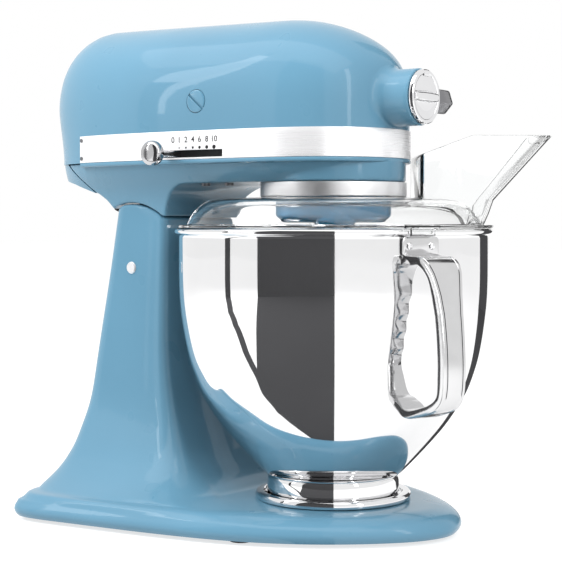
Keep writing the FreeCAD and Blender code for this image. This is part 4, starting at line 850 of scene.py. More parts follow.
# ------------------------------------------------------------------ attachment hub with its blend into the nose
def build_hub():
    n = 96
    R, F = HUB_R, 7.0
    rings = []
    prof_in = []
    # from the head surface outwards: fillet, barrel, rounded mouth, bore
    ths = [2 * math.pi * i / n for i in range(n)]
    steps = 10
    for s in range(steps + 1):
        t = s / steps
        ring = []
        for th in ths:
            c, sn = math.cos(th), math.sin(th)
            fr = F * (1.0 if sn > -0.2 else max(0.25, 1.0 - 0.75 * smoothstep((-sn - 0.2) / 0.6)))
            y1, z1 = (R + fr) * c, (R + fr) * sn + HUB_Z
            xa = nose_x(y1, max(z1, 279.0))
            x0 = nose_x(R * c, R * sn + HUB_Z)
            pa = Vector((xa - 0.02, y1, z1))
            pc = Vector((x0, R * c, R * sn + HUB_Z))
            pb = Vector((x0 + fr, R * c, R * sn + HUB_Z))
            p = (pa * (1 - t) + pc * t) * (1 - t) + (pc * (1 - t) + pb * t) * t
            ring.append(tuple(p))
        rings.append(ring)

    def circ(x, r):
        return [(x, r * math.cos(th), r * math.sin(th) + HUB_Z) for th in ths]
    for x, r in ((61, R), (HUB_X1 - 1.6, R), (HUB_X1 - 0.9, R - 0.12), (HUB_X1 - 0.35, R - 0.45), (HUB_X1, R - 1.1),
                 (HUB_X1, 13.2), (HUB_X1 - 0.6, 12.35), (HUB_X1 - 1.2, 12.3), (55.5, 12.3), (55.5, 9.6), (43, 9.6), (43, 7.0), (19, 7.0), (19, 17.0),
                 (26, 17.0)):
        rings.append(circ(x, r))
    o = loft("attachment_hub", rings, cap=False, close_rows=True)
    boolean(o, box("t", 66.0, 76, -7.4, 7.4, HUB_Z + 11.0, HUB_Z + 17.2))
    boolean(o, revolve("t", [(0, 0), (3.35, 0), (3.35, 20), (0, 20)], (62, 10, HUB_Z), (0, 1, 0), n=40, closed=False))
    return o


dress(build_hub(), M_BODY, "head", "body_paint", "attachment_hub_sleeve", angle=38)

# ------------------------------------------------------------------ more of the part's dimensions
HEAD_W = 64.0
BAND_Z0, BAND_Z1, BAND_T = 259.4, 279.2, 0.8

# ------------------------------------------------------------------ band with the speed scale
def plan_outline(grow, x_min=-400.0):
    """Half outline of the head at the band, offset outwards; nose point first."""
    xs = [x for x in fine_stations()]
    pts = [(x + head_bulge(x, 262.0), head_half_width(x)) for x in xs]
    out = []
    for i, (x, y) in enumerate(pts):
        if i == 0:
            nx, ny = -1.0, 0.0
        elif i == len(pts) - 1:
            nx, ny = 1.0, 0.0
        else:
            dx, dy = pts[i + 1][0] - pts[i - 1][0], pts[i + 1][1] - pts[i - 1][1]
            L = math.hypot(dx, dy)
            nx, ny = -dy / L, dx / L
        out.append((x + nx * grow, y + ny * grow if 0 < i < len(pts) - 1 else 0.0))
    out = [p for p in out if p[0] > x_min]
    return list(reversed(out))


def strip_along(name, x_min, section):
    """section: list of (offset, z) around a closed profile, swept round the nose from flank to flank."""
    half = [plan_outline(g, -400) for g, _ in section]
    cut = len([p for p in plan_outline(0.0, -400) if p[0] > x_min])
    rings = []
    for k in range(cut - 1, 0, -1):
        rings.append([(half[m][k][0], half[m][k][1], section[m][1]) for m in range(len(section))])
    rings.append([(half[m][0][0], 0.0, section[m][1]) for m in range(len(section))])
    for k in range(1, cut):
        rings.append([(half[m][k][0], -half[m][k][1], section[m][1]) for m in range(len(section))])
    return loft(name, rings)


NODES["head_hinge_pin"].material_slots[0].material = M_SATIN
T = BAND_T
band = strip_along("trim_band_strip", -196.0, [(-0.6, BAND_Z0), (T - 0.35, BAND_Z0), (T - 0.1, BAND_Z0 + 0.1), (T, BAND_Z0 + 0.4), (T, BAND_Z0 + 3.5), (T, BAND_Z0 + 8),
                                                (T, BAND_Z1 - 8), (T, BAND_Z1 - 3.5), (T, BAND_Z1 - 0.4), (T - 0.1, BAND_Z1 - 0.1), (T - 0.35, BAND_Z1), (-0.6, BAND_Z1)])
boolean(band, box("t", -102.5, -49.0, -75, -55, SLOT_Z - 2.6, SLOT_Z + 2.6))
dress(band, M_BAND, "head", "band_metal", "trim_band", angle=30)

# painted shade: a near-black liner box inside the speed slot stands in for the shade in the recess
well = box("speed_slot_shade_liner", -103.5, -48.0, -64.3, -57.5, SLOT_Z - 3.4, SLOT_Z + 3.4)
boolean(well, box("t", -102.6, -48.9, -70, -58.6, SLOT_Z - 2.62, SLOT_Z + 2.62))
dress(well, M_SLOT_PAINTED_SHADE, "head", "black_plastic", angle=30)


def text_piece(body, size_mm, x, z, y):
    cu = bpy.data.curves.new("num", "FONT")
    cu.body = body
    cu.size = size_mm / 1000.0
    cu.extrude = 0.00004
    cu.offset = 0.00006
    cu.align_x = "CENTER"
    cu.align_y = "CENTER"
    cu.resolution_u = 4
    o = bpy.data.objects.new("num", cu)
    scene.collection.objects.link(o)
    bpy.context.view_layer.update()
    dg = bpy.context.evaluated_depsgraph_get()
    me = bpy.data.meshes.new_from_object(o.evaluated_get(dg))
    me.transform(Matrix.Translation(Vector(W((x, y, z)))) @ Matrix.Rotation(math.radians(90), 4, "X"))
    bpy.data.objects.remove(o)
    q = bpy.data.objects.new("num", me)
    scene.collection.objects.link(q)
    return q


def join(name, objs):
    bm = bmesh.new()
    for q in objs:
        bm.from_mesh(q.data)
    me = bpy.data.meshes.new(name)
    bm.to_mesh(me)
    bm.free()
    for q in objs:
        drop(q)
    o = bpy.data.objects.new(name, me)
    scene.collection.objects.link(o)
    return o


def band_y(x):
    return -(head_half_width(x) + T + 0.01)


marks = []
NUMX = (-93.0, -87.3, -81.2, -75.0, -69.0, -62.6, -56.2)
for s, x in zip(("0", "1", "2", "4", "6", "8", "10"), NUMX):
    marks.append(text_piece(s, 5.8, x, 272.9, band_y(x)))
for i, x in enumerate(NUMX[1:]):
    r = 0.5 + 0.2 * i
    marks.append(revolve("dot", [(0, 0), (r, 0), (r, 0.05), (0, 0.05)], (x, band_y(x) + 0.02, 267.4), (0, -1, 0), n=24, closed=False))
dress(join("speed_scale_marks", marks), M_PRINT, "head", "black_plastic", angle=None)


# ------------------------------------------------------------------ lower head: gearcase with the planetary's cylinder
def side_profile(top, grow=0.0):
    R = COL_ARC_R + HEAD_GAP
    zs = SEAM_Z + HEAD_GAP
    ex = PIN_X + math.sqrt(R * R - (zs - PIN_Z) ** 2)
    fx = -171.8
    fz = PIN_Z + math.sqrt(R * R - (fx - PIN_X) ** 2)
    ca, cr = (-91.5, 215.5), 27.5
    pts = [(60, top), (60, 243.0), (ca[0], 243.0)]
    a1 = math.degrees(math.asin((zs - ca[1]) / cr))
    pts += arc_pts(ca[0], ca[1], cr, 90, 180 - a1, 18)[1:]
    pts += [(ex, zs)]
    a0 = math.degrees(math.atan2(zs - PIN_Z, ex - PIN_X))
    a2 = math.degrees(math.atan2(fz - PIN_Z, fx - PIN_X))
    pts += arc_pts(PIN_X, PIN_Z, R, a0, a2, 24)[1:]
    pts += [(-178.0, 231.6), (-185.5, 236.2), (-215, 244.2), (-232, 247.2), (-256, 249.4), (-262, top)]
    return pts


def head_hull(name):
    levels = [(259.6, 62.6, 48.6, -243.0), (250.0, 57.6, 42.0, -242.6), (243.0, 52.2, 34.0, -242.0), (231.0, 45.6, 30.0, -241.0), (213.0, 42.0, 26.0, -240.0)]
    zq = np.linspace(213.0, 259.6, 16)
    zl = [l[0] for l in reversed(levels)]
    val = cubic(zl, np.array([l[1:] for l in reversed(levels)]), zq)
    rings = []
    for z, (hw, xf, xr) in zip(zq, val):
        kx = (xf - xr) / (HEAD_XF - HEAD_XR)
        half = [(xr + (x - HEAD_XR) * kx, head_half_width(x) * hw / HEAD_W) for x in fine_stations()]
        rings.append([(x, y, z) for x, y in half] + [(x, -y, z) for x, y in reversed(half[1:-1])])
    return loft(name, rings)


case = head_hull("gearcase_shell")
boolean(case, prism_xz("t", side_profile(259.2), -90, 90), "INTERSECT")
nose = revolve("t", [(0, 243.2), (51.0, 243.2), (51.0, 258.8), (0, 258.8)], n=128, closed=False)
boolean(case, nose, "UNION")
tongue = prism_xz("t", [(PIN_X + 17 * math.cos(math.radians(a)), PIN_Z + 17 * math.sin(math.radians(a))) for a in range(180, 361, 10)]
                  + [(PIN_X + 16.0, 233.0), (PIN_X - 15.5, 233.0)], -15.0, 15.0)
boolean(case, tongue, "UNION")
boolean(case, seam_prism("t", 0.3))
remesh(case, 0.85, 10, 0.6)
# true edges where machined faces meet: bore of the planetary, pin bore, flat top
boolean(case, box("t", -300, 100, -100, 100, 258.6, 300))
boolean(case, revolve("t", [(0, 0), (44.6, 0), (44.6, 15.2), (0, 15.2)], (0, 0, 238), n=128, closed=False))
boolean(case, revolve("t", [(0, 0), (4.6, 0), (4.6, 60), (0, 60)], (PIN_X, -30, PIN_Z), (0, 1, 0), n=48, closed=False))
GL, GD = Vector((-177.4, -23.0, 231.2)), Vector((0.42, 0.0, 0.9075))
boolean(case, revolve("t", [(0, -14), (5.7, -14), (5.7, 14), (0, 14)], tuple(GL), tuple(GD), n=40, closed=False))
boolean(case, revolve("t", [(0, -14), (7.3, -14), (7.3, 0.7), (0, 0.7)], tuple(GL), tuple(GD), n=40, closed=False))
dress(case, M_BODY, "head", "body_paint", "gearcase", angle=50)
ledge = strip_along("gearcase_ledge", -196.0, [(-6.0, 255.9), (-1.2, 255.9), (T - 0.5, 256.3), (T, 256.9), (T, 258.7), (T - 0.3, 259.15), (-6.0, 259.15)])
dress(ledge, M_BODY, "head", "body_paint", angle=40)

# slotted brush caps
caps = []
for s in (-1, 1):
    c = revolve("cap", [(0, 50.5), (6.2, 50.5), (6.2, 59.2), (8.0, 59.2), (8.0, 63.5), (7.85, 64.0), (7.4, 64.3), (6.8, 64.4), (0, 64.4)],
                (-73, 0, 299.6), (0, s, 0), n=72, closed=False)
    slot = box("t", -9, 9, -1.35, 1.35, -0.95, 0.95)
    slot.data.transform(Matrix.Translation(Vector(W((-73, s * 64.4, 299.6)))) @ Matrix.Rotation(math.radians(-s * 40), 4, "Y") @ Matrix.Translation(-Vector(W((0, 0, 0)))))
    boolean(c, slot)
    caps.append(c)
cap = join("slotted_brush_caps", caps)
dress(cap, M_CAP, "head", "brush_cap_plastic", "brush_caps", angle=30)

# hub cover: rim, recessed face, bar
HX = HUB_X1 + 0.35
rim = revolve("t", [(0, 0), (17.4, 0), (18.2, 0.25), (18.6, 0.9), (18.6, 2.6), (18.35, 3.3), (17.8, 3.75), (17.0, 3.9), (16.2, 3.85), (15.6, 3.6),
                    (15.25, 3.25), (15.2, 3.1), (0, 3.1)], (HX, 0, HUB_Z), (1, 0, 0), n=128, closed=False)
bar = []
for y in np.linspace(-15.0, 15.0, 41):
    h = 3.1 * (1.0 - 0.16 * (y / 15.0) ** 2)
    pr = [(0.0, -h - 1.3), (0.25, -h - 0.7), (0.9, -h - 0.15), (1.7, -h + 0.35), (2.05, -h + 0.95), (2.1, 0.0), (2.05, h - 0.95), (1.7, h - 0.35),
          (0.9, h + 0.15), (0.25, h + 0.7), (0.0, h + 1.3), (-1.5, h + 1.3), (-1.5, -h - 1.3)]
    bar.append([(HX + 2.95 + a * (1.0 if abs(y) < 14 else 0.8), y, HUB_Z + b) for a, b in pr])
barO = loft("t", bar)
boolean(rim, barO, "UNION")
knuckle = revolve("t", [(1.1, -3.2), (2.0, -3.2), (2.0, 3.2), (1.1, 3.2)], (HUB_X1 + 2.3, 0, HUB_Z + 15.4), (0, 1, 0), n=24)
rim = join("hub_cover_plate", [rim, knuckle])
dress(rim, M_CHROME, "hub_cover_flap", "bright_chrome", "hub_cover", angle=28)

# attachment knob: six soft lobes, tapering towards the hub
rings = []
for y, r, d in ((27.0, 6.2, 0.35), (27.3, 6.5, 0.5), (29.5, 7.7, 0.8), (32.6, 9.1, 1.15), (33.6, 9.4, 1.3), (36, 9.5, 1.35), (40, 9.5, 1.35), (43.0, 9.4, 1.3),
                (44.2, 9.0, 1.15), (45.0, 8.4, 0.9), (45.4, 7.6, 0.6), (45.4, 4.0, 0.0)):
    ring = []
    for i in range(96):
        a = 2 * math.pi * i / 96
        t = math.radians((math.degrees(a) + 12.0) % 60.0 - 30.0)
        q = min(r, (r * 0.895) / math.cos(t)) if d > 0.2 else r
        ring.append((62 + q * math.cos(a), y, HUB_Z + q * math.sin(a)))
    rings.append(ring)
dress(loft("lobed_attachment_knob", rings), M_KNOB, "attachment_lock", "knob_metal", "attachment_knob", angle=32)

# trim ring and planetary
trim = revolve("planetary_trim_collar", [(43.6, 233.0), (50.4, 232.8), (51.1, 233.0), (51.5, 233.5), (51.6, 234.2), (51.6, 238), (51.6, 242.4), (51.45, 242.85),
                                         (51.1, 243.0), (43.6, 243.0)], n=160)
dress(trim, M_SATIN, "head", "bright_chrome", "planetary_trim_ring", angle=28)


def carrier():
    R = 40.8
    prof = [(0, 215.6), (30.0, 215.6)]
    prof += [(33.3 + 7.5 * math.cos(math.radians(a)), 223.1 + 7.5 * math.sin(math.radians(a))) for a in range(-84, 1, 7)]
    prof += [(R, 226), (R, 230.5), (R - 0.15, 232.2), (R - 0.6, 233.0), (R - 1.2, 233.2), (R - 3.2, 233.2), (R - 3.5, 232.9), (R - 3.5, 226.0), (R - 6.0, 224.4), (0, 224.4)]
    o = revolve("planetary_body", prof, n=144, closed=False)
    px, py = 26.25 * math.cos(math.atan2(-0.8126, 0.5828)), 26.25 * math.sin(math.atan2(-0.8126, 0.5828))
    boss = revolve("t", [(0, 211.6), (11.2, 211.6), (12.0, 211.9), (12.5, 212.6), (13.6, 214.4), (15.2, 216.4), (15.2, 222.0), (0, 222.0)], (px, py, 0), n=80, closed=False)
    boolean(o, boss, "UNION")
    post = revolve("t", [(0, 217.0), (11.2, 217.0), (11.2, 241.0), (0, 241.0)], (px, py, 0), n=64, closed=False)
    post2 = revolve("t", [(0, 217.0), (13.8, 217.0), (13.8, 229.0), (0, 229.0)], n=64, closed=False)
    boolean(o, post, "UNION")
    boolean(o, post2, "UNION")
    remesh(o, 0.7, 5, 0.5)
    boolean(o, revolve("t", [(0, 205), (6.4, 205), (6.4, 250), (0, 250)], (px, py, 0), n=48, closed=False))
    return o


# the planetary wears the brighter, bluer painted-light copy of the body paint
dress(carrier(), M_PLANET_PAINTED_LIGHT, "planetary", "planetary_paint", "planetary_carrier", angle=45)

# beater shaft with its chamfered end
PX, PY = 26.25 * math.cos(math.atan2(-0.8126, 0.5828)), 26.25 * math.sin(math.atan2(-0.8126, 0.5828))
shaft = revolve("beater_output_shaft", [(0, 168.0), (4.9, 168.0), (5.2, 168.1), (6.25, 169.1), (6.35, 169.5), (6.35, 205), (6.35, 243.9), (5.5, 243.9), (5.5, 252.2), (0, 252.2)],
                (PX, PY, 0), n=64, closed=False)
dress(shaft, M_STEEL, "beater", "steel", "beater_shaft", angle=32)

# speed lever and its barrel knob
lev = []
for y, hx, hz, xo in ((-54.0, 4.4, 2.2, 0), (-62, 4.4, 2.2, 0), (-66.2, 4.4, 2.2, 0), (-68.0, 4.1, 2.2, 0), (-72.0, 3.5, 2.3, 0), (-77.0, 2.9, 2.5, 0), (-80.4, 2.6, 2.6, 0)):
    sq = round_poly([(-hx, -hz), (hx, -hz), (hx, hz), (-hx, hz)], 0.6, 3)
    lev.append([(-95 + a, y, SLOT_Z + b) for a, b in sq])
lever = loft("speed_lever_blade", lev)
dress(lever, M_LEVER, "speed_control", "lever_metal", "speed_lever", angle=30)
kb = revolve("speed_ball_knob", [(0, 79.6), (3.4, 79.6), (5.2, 79.9), (6.9, 80.7), (8.1, 81.9), (8.7, 83.2), (8.8, 84.4), (8.8, 85.6), (8.55, 86.9), (7.9, 88.1), (6.9, 88.95),
                                 (5.6, 89.4), (4.2, 89.6), (0, 89.65)], (-95, 0, SLOT_Z), (0, -1, 0), n=96, closed=False)
dress(kb, M_BALL, "speed_control", "bright_chrome", "speed_knob", angle=40)


# ------------------------------------------------------------------ clamp plate, bowl, handle
plate = revolve("bowl_clamp_ring", [(0, 20.5), (53.8, 20.5), (54.9, 20.8), (55.2, 21.5), (55.2, 23.2), (54.9, 24.5), (54.2, 25.4), (53.2, 25.8), (50.4, 25.8), (49.4, 25.5),
                                    (49.0, 24.8), (49.0, 22.3), (0, 22.3)], n=160, closed=False)
for k in range(4):
    a = math.radians(45 + 90 * k)
    boolean(plate, revolve("t", [(0, 20), (1.8, 20), (1.8, 20.95), (3.45, 22.3), (3.45, 24), (0, 24)], (38 * math.cos(a), 38 * math.sin(a), 0), n=32, closed=False))
dress(plate, M_CHROME, "stand", "bright_chrome", "bowl_clamp_plate", angle=28)

BOWL_PROFILE = [(36, 45.0), (40, 49.5), (48, 57.5), (61, 69.5), (74, 80.3), (85, 87.8), (96.5, 94.4), (108, 99.0), (119, 102.4),
                (130, 104.8), (141, 106.6), (155, 108.3), (168, 109.1), (188, 109.3), (206, 109.2)]
zz = np.linspace(36.0, 206.0, 110)
rr = cubic([z for z, _ in BOWL_PROFILE], np.array([[r] for _, r in BOWL_PROFILE]), zz)[:, 0]
outer = list(zip(rr, zz))
th = 0.95
inner_p = [(r - th * (1.15 if z > 60 else 1.3), z + (0.0 if z > 60 else 0.4 * (60 - z) / 24)) for r, z in outer]
rimc = (110.1, 208.8)
roll = [(109.6, 206.5)] + [(rimc[0] + 2.1 * math.cos(math.radians(a)), rimc[1] + 2.1 * math.sin(math.radians(a))) for a in range(-70, 181, 12)] + [(108.15, 207.4)]
prof = [(0, 34.6), (43.6, 34.6), (44.5, 35.1)] + outer + roll + list(reversed(inner_p)) + [(42.0, 36.1), (0, 36.0)]
bowl = revolve("mixing_bowl", prof, n=240, closed=False)
dress(bowl, M_BOWL, "bowl_assembly", "bowl_steel", "bowl", angle=40)

foot = revolve("bowl_foot_ring", [(40.0, 22.6), (46.0, 22.6), (46.6, 22.8), (46.8, 23.4), (46.8, 28.0), (46.75, 33.5), (46.5, 35.0), (46.35, 36.2), (46.1, 36.6), (45.3, 36.6), (44.9, 34.4),
                                  (44.9, 24.2), (44.5, 23.8), (40.0, 23.8)], n=200)
lugs = []
for k in range(4):
    a0 = math.radians(90 * k + 20)
    ring = []
    for t in np.linspace(-9.5, 9.5, 15):
        a = a0 + math.radians(t)
        ring.append([(r * math.cos(a), r * math.sin(a), z) for r, z in ((46.0, 23.4), (48.2, 23.4), (48.5, 23.7), (48.5, 24.5), (48.2, 24.8), (46.0, 24.8))])
    lugs.append(loft("t", ring))
foot = join("bowl_foot_ring", [foot] + lugs)
dress(foot, M_BOWL, "bowl_assembly", "bowl_steel", "bowl_foot", angle=32)

HANDLE_AZ = math.radians(-26.0)


def radial(p, az=HANDLE_AZ):
    r, t, z = p
    return (r * math.cos(az) - t * math.sin(az), r * math.sin(az) + t * math.cos(az), z)


def build_handle():
    outer = [(108.9, 191.6), (110.6, 194.6), (114.5, 194.1), (120.0, 193.8), (128.6, 193.2), (135.2, 189.6), (139.2, 184.8), (141.6, 179.0),
             (143.9, 171.0), (147.2, 154.5), (149.3, 137.0), (150.0, 124.0), (149.4, 111.5), (147.3, 104.0),
             (142.2, 98.4), (135.0, 95.0), (128.0, 92.9), (118.0, 90.2), (110.0, 88.9), (103.0, 89.6), (97.4, 92.4), (92.2, 95.0)]
    innr = [(108.6, 190.8), (112.4, 189.4), (119.0, 188.9), (127.0, 188.2), (133.2, 184.8), (136.4, 180.0), (138.2, 173.4), (136.8, 165.4),
            (141.0, 157.6), (139.2, 149.6), (143.0, 141.6), (140.4, 133.6), (144.2, 125.6), (140.6, 118.0), (143.0, 112.0), (141.8, 107.6),
            (138.6, 103.2), (133.4, 100.0), (127.0, 98.0), (117.0, 95.2), (110.0, 93.9), (104.2, 94.6), (98.6, 97.6), (93.6, 99.4)]
    oc = catmull(outer, 8)
    ic = catmull(innr, 8)
    N = 200
    oc = [tuple(p) for p in resample(oc, N)]
    ic = np.array([tuple(p) for p in resample(ic, 1200)])
    # pair every outer station with the inner curve across the strap
    wz = [(80, 9.6), (95, 9.0), (101, 8.5), (115, 8.5), (140, 8.6), (158, 8.9), (170, 9.9), (179, 11.4), (187, 13.0), (192, 13.6), (200, 13.6)]
    zsx, wsx = [a for a, _ in wz], [b for _, b in wz]
    ot = np.array(oc)
    tang = np.gradient(ot, axis=0)
    tang /= np.linalg.norm(tang, axis=1)[:, None]
    nor = np.stack([tang[:, 1], -tang[:, 0]], axis=1)
    rings = []
    kprev = 0
    stations = []
    for i in range(N + 1):
        # nearest crossing of the station's normal with the inner curve, moving forwards only
        d = ic - ot[i]
        across = np.abs(d @ tang[i]) + 0.15 * np.abs(np.linalg.norm(d, axis=1))
        window = across.copy()
        window[:kprev] = 1e9
        window[min(len(ic), kprev + 60):] = 1e9
        k = int(np.argmin(window)) if i not in (0, N) else (0 if i == 0 else len(ic) - 1)
        kprev = max(kprev, k)
        a, b = ot[i], ic[kprev]
        z = a[1]
        hw = float(np.interp(z, zsx, wsx))
        u = (b - a)
        L = float(np.linalg.norm(u))
        stations.append((a, u / max(L, 1e-6), L, hw))
    Ls = np.array([q[2] for q in stations])
    kern = np.hanning(37)
    kern /= kern.sum()
    Lm = np.convolve(np.pad(Ls, 18, mode="edge"), kern, mode="valid")
    for i in range(N + 1):
        a, u, L, hw = stations[i]
        M = float(Lm[i])

        def pt(depth, t):
            q = a + u * depth
            return radial((q[0], t, q[1]))
        e = min(0.9, L * 0.3)
        g = 0.38
        ring = [pt(e, hw), pt(e * 0.3, hw - e * 0.3), pt(0, hw - e), pt(0, hw - 2.1), pt(g, hw - 2.5), pt(g, hw - 3.1), pt(0, hw - 3.5), pt(-0.15, hw * 0.35), pt(-0.2, 0),
                pt(-0.15, -hw * 0.35), pt(0, -hw + 3.5), pt(g, -hw + 3.1), pt(g, -hw + 2.5), pt(0, -hw + 2.1), pt(0, -hw + e), pt(e * 0.3, -hw + e * 0.3), pt(e, -hw),
                pt(M - e, -hw), pt(M - e * 0.3, -hw + e * 0.3), pt(M, -hw + e), pt(0.5 * (L + M), 0), pt(L, hw - e), pt(L - e * 0.3, hw - e * 0.3), pt(L - e, hw)]
        rings.append(ring)
    o = loft("handle_strap", rings)
    # riveted plate against the bowl's wall
    prof = round_poly([(-14, 192.7), (14, 192.7), (14, 206.1), (-14, 206.1)], 3.2, 6)
    lay = []
    for r, k in ((108.9, 1.0), (110.9, 1.0), (111.25, 0.985), (111.4, 0.955)):
        lay.append([radial((r, t * k, 199.4 + (z - 199.4) * k)) for t, z in prof])
    plate = loft("t", lay)
    # keep everything outside the bowl's wall
    wall = revolve("t", [(0, 60)] + [(r + 0.02, z) for r, z in outer_wall if z > 60] + [(109.25, 206.3), (0, 206.3)], n=240, closed=False)
    boolean(plate, wall, keep=True)
    boolean(o, wall)
    return join("strap_handle", [o, plate])


outer_wall = outer
dress(build_handle(), M_HANDLE, "bowl_assembly", "handle_steel", "bowl_handle", angle=34)
riv = []
for t in (-8.6, 8.6):
    c = radial((111.2, t, 200.0))
    ax = radial((1, 0, 0))
    riv.append(revolve("r", [(0, 0)] + [(2.5 * math.sin(math.radians(a)) if a < 90 else 2.5, 1.35 * math.cos(math.radians(a))) for a in (90, 75, 60, 45, 30, 15)] + [(0, 1.35)],
                       c, (ax[0], ax[1], 0), n=32, closed=False))
dress(join("handle_rivet_heads", riv), M_CHROME, "bowl_assembly", "bright_chrome", "handle_rivets", angle=40)

# ------------------------------------------------------------------ pouring shield
CHUTE_AZ = math.radians(37.0)


def shield_wall():
    """The clear dome, flange and collar as one swept section, open at the back."""
    dome = [(104.5, 212.6), (103.9, 214.2), (102.6, 216.9), (99.8, 221.6), (95.4, 226.3), (91.9, 228.6), (88.0, 230.2), (83.0, 231.1), (78.0, 231.6), (70.0, 232.0),
            (62.0, 232.2), (57.0, 232.3)]
    d = catmull(dome, 5)
    inn = []
    for i, (x, z) in enumerate(d):
        a, b = d[max(0, i - 1)], d[min(len(d) - 1, i + 1)]
        L = math.hypot(b[0] - a[0], b[1] - a[1])
        nx, nz = -(b[1] - a[1]) / L, (b[0] - a[0]) / L
        inn.append((x + nx * -1.9 if False else x - abs(nx) * 1.9, z - abs(nz) * 1.9))
    inn = [(x, max(z, 211.3)) for x, z in inn]
    prof = [(111.4, 211.3), (111.85, 211.45), (112.0, 211.8), (112.0, 212.8), (111.85, 213.15), (111.4, 213.3), (105.6, 213.3), (104.9, 213.35)]
    prof += [p for p in d[4:]]
    prof += [(55.0, 232.4), (54.2, 232.4), (53.0, 232.35), (52.6, 232.0), (52.6, 228.2), (52.75, 227.9), (53.1, 227.8), (54.3, 227.8), (54.65, 227.95), (54.8, 228.4), (54.8, 229.6),
             (55.4, 230.3)]
    prof += [p for p in reversed(inn[4:-2])]
    prof += [(102.2, 213.6), (101.9, 211.9), (102.1, 211.45), (102.5, 211.3)]
    gaps = 134.0
    rings = []
    for t in np.linspace(-gaps, gaps, 181):
        a = math.radians(t)
        rings.append([(r * math.cos(a), r * math.sin(a), z) for r, z in prof])
    return loft("pouring_shield_clear", rings)


def prism_rt(name, pts, t0, t1, az, r=0.0):
    """Prism from a radius/height polygon, across the given tangential range, at an azimuth."""
    a = [radial((p[0], t0, p[1]), az) for p in pts]
    b = [radial((p[0], t1, p[1]), az) for p in pts]
    n = len(pts)
    faces = [(i, (i + 1) % n, n + (i + 1) % n, n + i) for i in range(n)] + [tuple(range(n - 1, -1, -1)), tuple(range(n, 2 * n))]
    return clean(make_obj(name, a + b, faces))


def build_shield():
    s = shield_wall()
    boolean(s, prism_rt("t", [(109.0, 211.3), (114.5, 211.3), (114.5, 213.3), (109.0, 213.3)], -13, 13, HANDLE_AZ), "UNION")
    boolean(s, prism_rt("t", [(112.7, 206.6), (114.5, 206.6), (114.5, 212.3), (112.7, 212.3)], -9, 9, HANDLE_AZ), "UNION")
    for sgn in (-1, 1):
        boolean(s, prism_rt("t", [(106.0, 211.3), (117.5, 211.3), (117.5, 213.3), (106.0, 213.3)], -7, 7, math.radians(sgn * 131.0)), "UNION")
    # the CAD's own gap behind the planetary
    g = [(0, -53.4), (-44, -54.5), (-130, -83), (-130, 83), (-44, 54.5), (0, 53.4)]
    gap = clean(make_obj("t", [(x, y, 180) for x, y in g] + [(x, y, 280) for x, y in g],
                         [(i, (i + 1) % 6, 6 + (i + 1) % 6, 6 + i) for i in range(6)] + [tuple(range(5, -1, -1)), tuple(range(6, 12))]))
    boolean(s, gap)
    outp = [(57.8, 230.6), (57.8, 261.5), (94.0, 275.0), (149.0, 275.0), (108.4, 230.2), (105.2, 221.0), (101.5, 212.6), (97.0, 212.6), (90, 224)]
    inp = [(60.0, 200.0), (60.0, 300.0), (169.3, 300.0), (106.0, 231.0), (102.4, 221.2), (98.6, 212.0), (95.0, 200.0)]
    co = prism_rt("t", outp, -33, 33, CHUTE_AZ)
    bevel(co, 2.2, 3, 25)
    boolean(s, prism_rt("t", [(60.0, 214.2), (60.0, 300.0), (169.3, 300.0), (106.0, 231.0), (102.4, 221.2), (100.0, 214.2)], -31, 31, CHUTE_AZ))
    ci = prism_rt("t", inp, -31, 31, CHUTE_AZ)
    bevel(ci, 1.2, 3, 25)
    boolean(co, ci)
    boolean(co, revolve("t", [(0, 0), (57.4, 0), (57.4, 100), (0, 100)], (0, 0, 200), n=128, closed=False))
    boolean(s, co, "UNION")
    return s


shield = build_shield()
dress(shield, M_CLEAR, "shield", "clear_plastic", "pouring_shield", angle=32)

# cord gland: ribbed strain relief with a soft edge
g = revolve("cord_gland_sleeve", [(2.6, -6.0), (5.4, -6.0), (5.4, 0.8), (7.0, 0.8), (7.1, 1.0), (7.1, 2.2), (6.9, 2.7), (6.3, 2.9), (5.6, 2.9), (5.3, 3.4), (4.9, 4.4), (5.2, 4.9),
                                  (4.9, 5.4), (4.5, 6.2), (4.8, 6.8), (4.4, 7.4), (4.0, 8.0), (3.2, 8.2), (2.6, 8.2)], tuple(GL), tuple(-GD), n=64)
dress(g, M_RUBBER, "head", "black_plastic", "cord_gland", angle=35)



# ------------------------------------------------------------------ stage
def stage_mat(name, color, emit=None):
    m = bpy.data.materials.new(name)
    m.use_nodes = True
    b = bsdf(m)
    b.inputs["Base Color"].default_value = (*color, 1)
    b.inputs["Roughness"].default_value = 0.9
    b.inputs["Specular IOR Level"].default_value = 0.0
    if emit:
        b.inputs["Emission Color"].default_value = (*emit[0], 1)
        b.inputs["Emission Strength"].default_value = emit[1]
    return m


SX = S / 1000.0
floor = make_obj("floor", [(-9000, -9000, 0), (9000, -9000, 0), (9000, 9000, 0), (-9000, 9000, 0)], [(0, 1, 2, 3)])
floor.data.materials.append(stage_mat("floor_white", (0.33, 0.33, 0.33), ((1, 1, 1), 0.72)))

WHITE = stage_mat("panel_white", (0.8, 0.8, 0.8), ((1, 1, 1), 1.0))
GREY = stage_mat("panel_dark", (0.045, 0.045, 0.047))


def panel(name, az0, az1, dist, z0, z1, material, n=24):
    """Upright curved panel round the mixer; azimuths about the bowl axis."""
    v, f = [], []
    for i in range(n + 1):
        a = math.radians(az0 + (az1 - az0) * i / n)
        v += [(dist * math.cos(a), dist * math.sin(a), z0), (dist * math.cos(a), dist * math.sin(a), z1)]
    for i in range(n):
        f.append((2 * i, 2 * i + 2, 2 * i + 3, 2 * i + 1))
    o = make_obj(name, v, f)
    o.data.materials.append(material)
    o.visible_camera = False
    o.visible_shadow = False
    o.visible_diffuse = False
    return o




